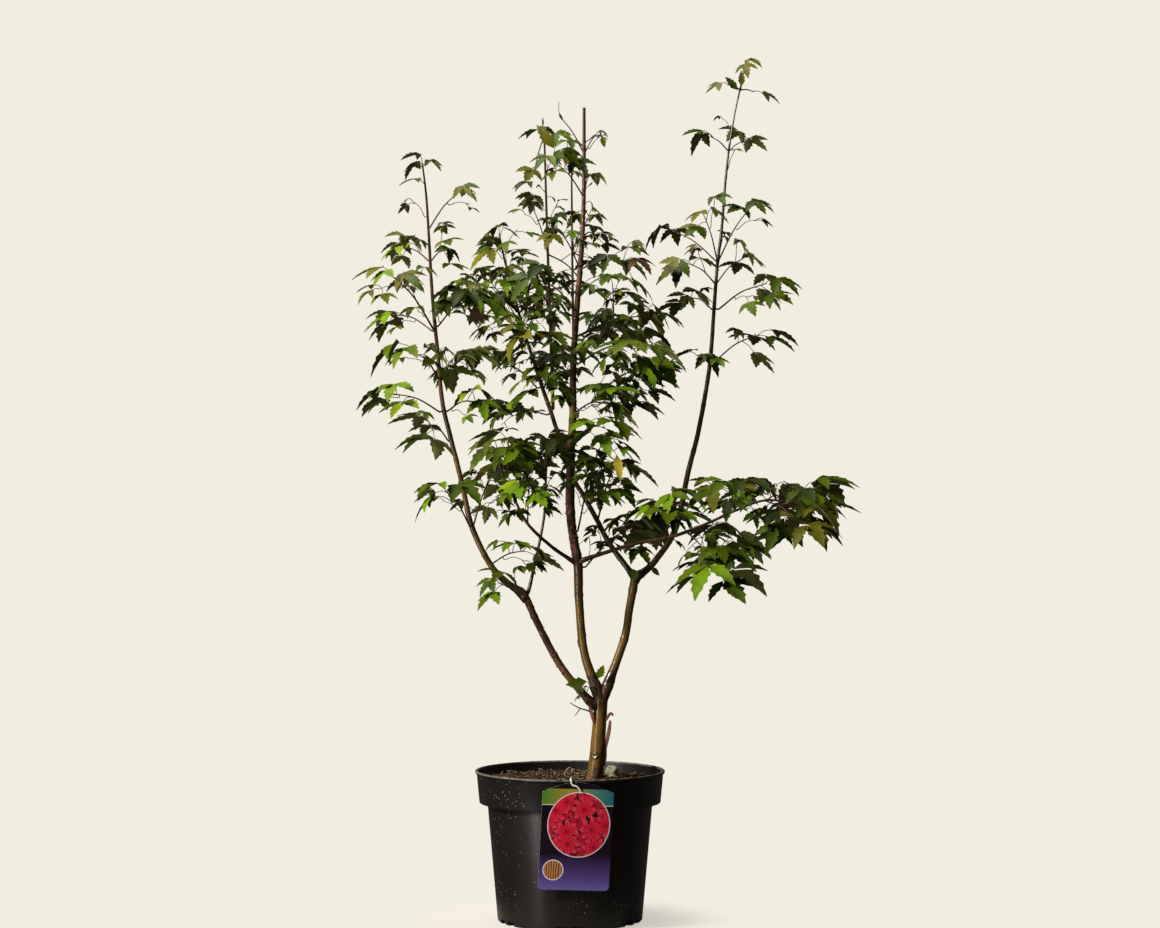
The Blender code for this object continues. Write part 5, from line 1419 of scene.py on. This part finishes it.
def add_shoots(masses, solids, shoots):
    """Fine side shoots with small leaves on every twig, kept to each mass's own box and clear of the rest."""
    for number, (name, mass) in enumerate(masses.items()):
        rng = random.Random(900 + number)
        low, high = (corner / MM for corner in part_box(name))
        for twig, _, count, length, _ in mass["twigs"]:
            total = runs(twig)[-1]
            if count == 0:
                continue
            share = by_name(THICKET, name)
            many = min(16, round(shoots * share * total / 75))
            spin = rng.uniform(0, math.tau)
            for k in range(many):
                run = total * (0.12 + 0.8 * (k + rng.uniform(0.1, 0.9)) / many)
                here, after = part_of(twig, run, run + 2)[0:2]
                forward = (after.xyz - here.xyz).normalized()
                flat = forward.orthogonal().normalized()
                angle = spin + 2.4 * k
                aside = flat * math.cos(angle) + flat.cross(forward) * math.sin(angle)
                way = (aside * 0.9 + forward * rng.uniform(0.3, 0.9) + Vector((0, 0, 0.35))).normalized()
                tip = here.xyz + way * rng.uniform(*SHOOT_LENGTHS)
                shoot, rows = twig_line(here.xyz, aside, tip, 0.85)
                leaves = []
                for turn in (None, 0.0, math.pi)[:rng.choice((1, 2, 3))]:
                    own_way = (tip - here.xyz).normalized()
                    root = tip - own_way * (1.0 if turn is None else 5.0)
                    across = own_way.orthogonal().normalized()
                    across = across * math.cos(angle + (turn or 0)) + across.cross(own_way) * math.sin(angle + (turn or 0))
                    out = across * 0.3 + own_way if turn is None else across
                    for _ in range(4):
                        size = length * rng.uniform(*SHOOT_LEAF)
                        place = leaf_place(rng, root, own_way, out, size)
                        shape = leaf_shape(place, size)
                        within = all(low[j] - REACH < p[j] < high[j] + REACH for p in shape[0] for j in range(3))
                        if within and clear(None, shape, solids[:len(LIMBS)]) and clear(name, shape, solids[len(LIMBS):]):
                            leaves.append((place, size))
                            solids.append((name, tree_of(*blade_only(shape))))
                            break
                if leaves:
                    mass["shoots"].append(rows)
                    mass["leaves"] += leaves


def leaf_mesh(rng, place, length, fold, leaflets=3, spread=1.0):
    """Points, faces and finish numbers of one leaf: one or three toothed leaflets, folded and drooping, and its stalk."""
    root, joint, ahead, side, up = place
    lift = fold * rng.uniform(0.2, 1.5)
    droop = rng.uniform(-0.04, 0.14)
    curl_over = rng.uniform(-0.06, 0.16)
    ahead = (ahead + Vector((0, 0, LEAF_LIFT * rng.uniform(0.3, 1.5)))).normalized()
    side = (side - ahead * side.dot(ahead)).normalized()
    up = side.cross(ahead)
    points, faces, which = [], [], []

    def on_blade(forward, aside, height):
        bend = -LEAF_FALL * forward * abs(forward) - LEAF_WING * aside * aside
        return joint + length * (ahead * forward + side * aside + up * (bend + height))

    for turn, size, narrow in ((0.0, 0.95, (1.0, 1.0)), (SIDE_TURN, SIDE_LENGTH, (0.95, 1.18)),
                               (-SIDE_TURN, SIDE_LENGTH, (1.18, 0.95)))[:leaflets]:
        turn += rng.uniform(-0.12, 0.12)
        size *= rng.uniform(0.90, 1.04)
        broad = rng.uniform(0.82, 1.12) * spread
        # Some leaflets take a near tone, mostly darker: painted shade.
        shade = 3 if rng.random() < TONE_SHIFT else 0
        start = 0.05 if turn * turn < 0.1 else 0.01
        along, out = Vector((math.cos(turn), math.sin(turn))), Vector((-math.sin(turn), math.cos(turn)))
        first = len(points)
        skin = LEAF_SKIN / length

        def put(t, width, sink=0.0):
            flat = along * (start + size * t) + out * (width * size)
            height = lift * abs(width) * size - droop * (size * t) ** 2 - curl_over * (size * t) ** 3
            points.append(on_blade(flat.x, flat.y, height - sink))

        for t in RIB:
            put(t, 0.0)
        for half, share in zip((1, -1), narrow):
            for t, width in LEAFLET[1:-1]:
                put(t, half * width * share * broad)
        for t in RIB[1:-1]:
            put(t, 0.0, skin)
        ribs, teeth = len(RIB), len(LEAFLET) - 2
        for half in (0, 1):
            chain = [first] + [first + ribs + half * teeth + k for k in range(teeth)] + [first + ribs - 1]
            upper = list(range(first, first + ribs))
            lower = [first] + [first + ribs + 2 * teeth + k for k in range(ribs - 2)] + [first + ribs - 1]
            for rib, down in ((upper, 0), (lower, 1)):
                made = lace(rib, chain)
                flip = (half + down) % 2
                faces += [face[::-1] if flip else face for face in made]
                which += [down or shade] * len(made)
    bend = Vector((0, 0, -0.05 * length))
    base = joint - ahead * 0.01 * length
    rows = [(*root, 0.62), (*(root.lerp(base, 0.5) - bend), 0.50), (*(base + ahead * 0.06 * length), 0.42)]
    stalk, around = tube(smooth_line(rows, 0.3 * (base - root).length), 5)
    faces += [tuple(k + len(points) for k in face) for face in around]
    which += [2] * len(around)
    return points + stalk, faces, which


def lace(rib, chain):
    """Triangles between a leaflet's rib and one edge, taken in step from base to tip."""
    faces = []
    i, j = 0, 0
    while i < len(rib) - 1 or j < len(chain) - 1:
        if i == len(rib) - 1 or (j < len(chain) - 1 and LEAFLET[j + 1][0] <= RIB[i + 1]):
            corner = (rib[i], chain[j + 1], chain[j])
            j += 1
        else:
            corner = (rib[i], rib[i + 1], chain[j])
            i += 1
        if len(set(corner)) == 3:
            faces.append(corner)
    return faces


def leaf_finish(name, colour, roughness):
    """A leaf surface of two near tones with faint veins of relief."""
    made, tree, shader = finish(name, roughness, Specular_IOR_Level=0.14)
    tone = effect(tree, "mottle", first=tinted(colour, 1.15), second=tinted(colour, 0.62), scale=38.0, contrast=0.2)
    tree.links.new(tone.outputs["Colour"], shader.inputs["Base Color"])
    grain = effect(tree, "grain", scale=260.0, depth=0.0006, strength=0.7)
    tree.links.new(grain.outputs["Normal"], shader.inputs["Normal"])
    return made


def leaf_finishes():
    """The finishes that leaves are dealt: tops from painted shade through the mid green to painted light, then olive,
    maroon, yellow, dead, underside and stalk.
    """
    look = bpy.context.scene.maple_leaf
    mid = tuple(look.mid)
    tones = {
        # Darker and lighter copies of the mid green: painted shade and painted light.
        "leaf_in_deep_shade": ((mid[0] * 0.28, mid[1] * 0.30, mid[2] * 0.5, 1), 0.50),
        "leaf_in_shade": ((mid[0] * 0.55, mid[1] * 0.60, mid[2] * 0.8, 1), 0.48),
        "leaf_mid": (mid, 0.48),
        "leaf_bright": ((mid[0] * 1.50, mid[1] * 1.75, mid[2] * 1.4, 1), 0.50),
        "leaf_lit_strong": ((mid[0] * 2.4, mid[1] * 2.2, mid[2] * 2.5, 1), 0.50),
        "leaf_olive": ((mid[0] * 1.30, mid[1] * 0.82, mid[2] * 2.0, 1), 0.50),
        "leaf_maroon": ((0.085, 0.048, 0.016, 1), 0.50),
        "leaf_yellow": ((0.50, 0.38, 0.04, 1), 0.5),
        "leaf_dead": ((0.60, 0.36, 0.28, 1), 0.8),
        "leaf_under": (tuple(look.under), 0.65),
        "leaf_stalk": ((0.095, 0.045, 0.022, 1), 0.5),
    }
    return {name: leaf_finish(name, colour, rough) for name, (colour, rough) in tones.items()}


def by_name(table, name, otherwise=None):
    """The entry of a table whose key a mass's name starts with."""
    return next((value for key, value in table.items() if name.startswith(key)), otherwise)


def make_foliage():
    """Twigs and leaves grown by the source's rule and carried on to finer shoots, joined by part of the crown."""
    look = bpy.context.scene.maple_leaf
    masses, solids = grow(limb_lines(), limb_trees())
    add_shoots(masses, solids, look.shoots)
    finishes = leaf_finishes()
    names_of = (*LEAF_NAMES, "leaf_yellow", "leaf_under", "leaf_stalk")
    slots = [finishes[name] for name in names_of]
    under, stalk = names_of.index("leaf_under"), names_of.index("leaf_stalk")
    every = [(name, k) for name, mass in masses.items() for k in range(len(mass["leaves"]))]

    def nearest(spot):
        def far(key):
            joint = masses[key[0]]["leaves"][key[1]][0][1]
            return math.hypot(joint.x - spot[0], joint.z - spot[1]) + 0.25 * joint.y
        return min(every, key=far)

    # Painted light: the leaf nearest the lit spot is given the lightest green.
    special = {nearest(LIT_LEAF_SPOT): LEAF_NAMES.index("leaf_lit_strong")}
    parts = {"left": [], "centre": [], "inner": [], "right": []}
    for name in masses:
        part = "left" if "left" in name or name == "knuckle_end" else "right" if "right" in name else \
            "inner" if name.startswith(("inner", "upright")) else "centre"
        parts[part].append(name)
    for part, names in parts.items():
        points, faces, which = [], [], []
        for name in names:
            rng = random.Random(name)
            shares = by_name(LEAF_TONES, name)
            tone = rng.choices(range(len(LEAF_NAMES)), shares)[0]
            share = by_name(LEAF_SIZES, name, 1.0)
            for k, (place, size) in enumerate(masses[name]["leaves"]):
                own, around, kinds = leaf_mesh(rng, place, size * share, look.fold)
                top = tone if rng.random() < 0.35 else rng.choices(range(len(LEAF_NAMES)), shares)[0]
                top = special.get((name, k), top)
                near = NEAR_TONE[top] if top in NEAR_TONE else top
                faces += [tuple(j + len(points) for j in face) for face in around]
                points += own
                which += [(top, under, stalk, near)[kind] for kind in kinds]
        for k, (root, joint, ahead, size, breadth, kind_name) in enumerate(SINGLE_LEAVES if part == "centre" else ()):
            ahead = Vector(ahead).normalized()
            side = ahead.cross(Vector((0, 1, 0))).normalized()
            up = side.cross(ahead)
            place = (Vector(root), Vector(joint), ahead, side if up.y < 0 else -side, up if up.y < 0 else -up)
            own, around, kinds = leaf_mesh(random.Random(40 + k), place, size, look.fold, 1, breadth)
            faces += [tuple(j + len(points) for j in face) for face in around]
            points += own
            top = names_of.index(kind_name)
            which += [(top, under, stalk, top)[kind] for kind in kinds]
        leaves = new_piece("leaves_" + part, points, faces, slots, which, angle=65)
        place_piece(leaves, "foliage", *names)
    points, faces = [], []
    for name, mass in masses.items():
        for _, _, _, _, fine in mass["twigs"]:
            if fine:
                add_tube(points, faces, fine, BARE_TWIG)
        for rows in mass["shoots"]:
            add_tube(points, faces, rows, BARE_TWIG)
    made, tree, shader = finish("twig_bark", 0.42, Specular_IOR_Level=0.4)
    tone = effect(tree, "mottle", first=(0.090, 0.036, 0.024, 1), second=(0.040, 0.018, 0.014, 1), scale=120.0)
    tree.links.new(tone.outputs["Colour"], shader.inputs["Base Color"])
    grain = effect(tree, "grain", scale=700.0, depth=0.0002)
    tree.links.new(grain.outputs["Normal"], shader.inputs["Normal"])
    place_piece(new_piece("twigs", points, faces, [made]), "bark")
    make_dead_leaf(finishes["leaf_dead"])


def add_tube(points, faces, rows, share):
    """Adds one twig, thinner than its solid, with a swollen foot."""
    rows = [(x, y, z, r * share) for x, y, z, r in rows]
    line = smooth_line(rows, 5)
    for k in range(len(line)):
        line[k].w *= 1.25 - 0.5 * k / len(line)
    own, around = tube(line, 6)
    faces += [tuple(k + len(points) for k in face) for face in around]
    points += own


def make_dead_leaf(look):
    """One dead leaf, curled up on its stalk."""
    ahead = Vector(DEAD_LEAF["ahead"]).normalized()
    side = ahead.cross(Vector((0.3, 1, 0))).normalized()
    place = (Vector(DEAD_LEAF["root"]), Vector(DEAD_LEAF["hang"]), ahead, side, side.cross(ahead))
    points, faces, _ = leaf_mesh(random.Random(77), place, DEAD_LEAF["size"], 1.6, 1, 1.7)
    place_piece(new_piece("dead_leaf", points, faces, [look], angle=65), "foliage")


# Stage

def make_stage():
    """A pale floor that fades into the background, a soft light from the left, a fill and the camera."""
    look = bpy.context.scene.maple_stage
    scene = bpy.context.scene
    scene.view_settings.view_transform = "Standard"
    made, tree, shader = finish("paper", 0.9, Specular_IOR_Level=0.1)
    place = add(tree, "ShaderNodeTexCoord")
    far = add(tree, "ShaderNodeVectorMath", {0: place.outputs["Object"]}, operation="LENGTH").outputs["Value"]
    fade = add(tree, "ShaderNodeMapRange", {"Value": far, "From Min": 0.10, "From Max": 0.24, "To Min": 0.35,
                                            "To Max": 0.0}, interpolation_type="SMOOTHSTEP")
    tree.links.new(fade.outputs[0], shader.inputs["Alpha"])
    tone = effect(tree, "mottle", first=look.paper, second=tinted(look.paper, 0.97), scale=3.0)
    tree.links.new(tone.outputs["Colour"], shader.inputs["Base Color"])
    floor = new_piece("floor", [(1600 * math.cos(math.tau * k / 96), 1600 * math.sin(math.tau * k / 96), -0.5)
                                for k in range(96)], [tuple(range(96))], [made])
    world = bpy.data.worlds.new("studio")
    scene.world = world
    world.use_nodes = True
    tree = world.node_tree
    tree.nodes.clear()
    seen = add(tree, "ShaderNodeBackground", {"Color": look.paper, "Strength": 1.0})
    lit = add(tree, "ShaderNodeBackground", {"Color": (1.0, 0.93, 0.82, 1), "Strength": look.fill})
    ray = add(tree, "ShaderNodeLightPath")
    mixed = add(tree, "ShaderNodeMixShader", {0: ray.outputs["Is Camera Ray"], 1: lit.outputs[0], 2: seen.outputs[0]})
    out = add(tree, "ShaderNodeOutputWorld")
    tree.links.new(mixed.outputs[0], out.inputs["Surface"])
    for name, power, size, at, towards in (
            ("key_light", look.key, (0.5, 0.5), (-2.7, -1.7, 2.3), (0.0, 0.0, 0.65)),
            ("top_light", look.key * 0.28, (1.0, 1.0), (-0.5, 0.2, 3.2), (0.0, 0.0, 0.3)),
            ("side_light", look.key * 0.05, (0.16, 0.8), (-1.30, -1.20, 0.05), (0.0, 0.0, 0.12))):
        light = bpy.data.lights.new(name, "AREA")
        light.energy = power
        light.shape = "RECTANGLE"
        light.size, light.size_y = size
        light.color = (1.0, 0.97, 0.92)
        lamp = bpy.data.objects.new(name, light)
        lamp.location = at
        lamp.rotation_euler = (Vector(towards) - Vector(at)).to_track_quat("-Z", "Y").to_euler()
        scene.collection.objects.link(lamp)
    view = bpy.data.cameras.new("photo_view")
    view.lens = 89.8
    view.sensor_width = 36.0
    camera = bpy.data.objects.new("photo_view", view)
    camera.location = (0.0138, -4.0, 0.630)
    camera.rotation_euler = (math.radians(90), 0, 0)
    scene.collection.objects.link(camera)
    scene.camera = camera


class PieceOperator:
    """Runs one maker and says that it is done."""
    bl_options = {"REGISTER"}
    maker = None

    def execute(self, context):
        type(self).maker()
        return {"FINISHED"}


class MAPLE_OT_stage(PieceOperator, bpy.types.Operator):
    """Sets up the floor, the lights and the camera"""
    bl_idname = "maple.stage"
    bl_label = "Stage"
    maker = staticmethod(make_stage)


class MAPLE_OT_pot(PieceOperator, bpy.types.Operator):
    """Builds the nursery pot"""
    bl_idname = "maple.pot"
    bl_label = "Pot"
    maker = staticmethod(make_pot)


class MAPLE_OT_soil(PieceOperator, bpy.types.Operator):
    """Builds the compost and all that lies on it"""
    bl_idname = "maple.soil"
    bl_label = "Compost"
    maker = staticmethod(make_soil)


class MAPLE_OT_label(PieceOperator, bpy.types.Operator):
    """Builds the printed label and its hook"""
    bl_idname = "maple.label"
    bl_label = "Label"
    maker = staticmethod(make_label)


class MAPLE_OT_bark(PieceOperator, bpy.types.Operator):
    """Builds the trunk, stems and boughs with their bark"""
    bl_idname = "maple.bark"
    bl_label = "Bark"
    maker = staticmethod(make_bark)


class MAPLE_OT_foliage(PieceOperator, bpy.types.Operator):
    """Grows the twigs and the leaves"""
    bl_idname = "maple.foliage"
    bl_label = "Foliage"
    maker = staticmethod(make_foliage)


OPERATORS = (MAPLE_OT_stage, MAPLE_OT_pot, MAPLE_OT_soil, MAPLE_OT_label, MAPLE_OT_bark, MAPLE_OT_foliage)


class MAPLE_PT_panel(bpy.types.Panel):
    """Lists the pieces and the values that shape them"""
    bl_idname = "MAPLE_PT_panel"
    bl_label = "Potted Maple"
    bl_space_type = "VIEW_3D"
    bl_region_type = "UI"
    bl_category = "Potted Maple"

    def draw(self, context):
        for name in LOOKS:
            box = self.layout.box()
            look = getattr(context.scene, name)
            for key in look.__annotations__:
                box.prop(look, key)
        for operator in OPERATORS:
            self.layout.operator(operator.bl_idname)


def register():
    for made in (*LOOKS.values(), *OPERATORS, MAPLE_PT_panel):
        bpy.utils.register_class(made)
    for name, look in LOOKS.items():
        setattr(bpy.types.Scene, name, PointerProperty(type=look))


def unregister():
    for name in LOOKS:
        delattr(bpy.types.Scene, name)
    for made in (MAPLE_PT_panel, *reversed(OPERATORS), *LOOKS.values()):
        bpy.utils.unregister_class(made)


def main():
    register()
    for operator in OPERATORS:
        getattr(bpy.ops.maple, operator.bl_idname.split(".")[1])()
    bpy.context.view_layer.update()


if __name__ == "__main__":
    main()
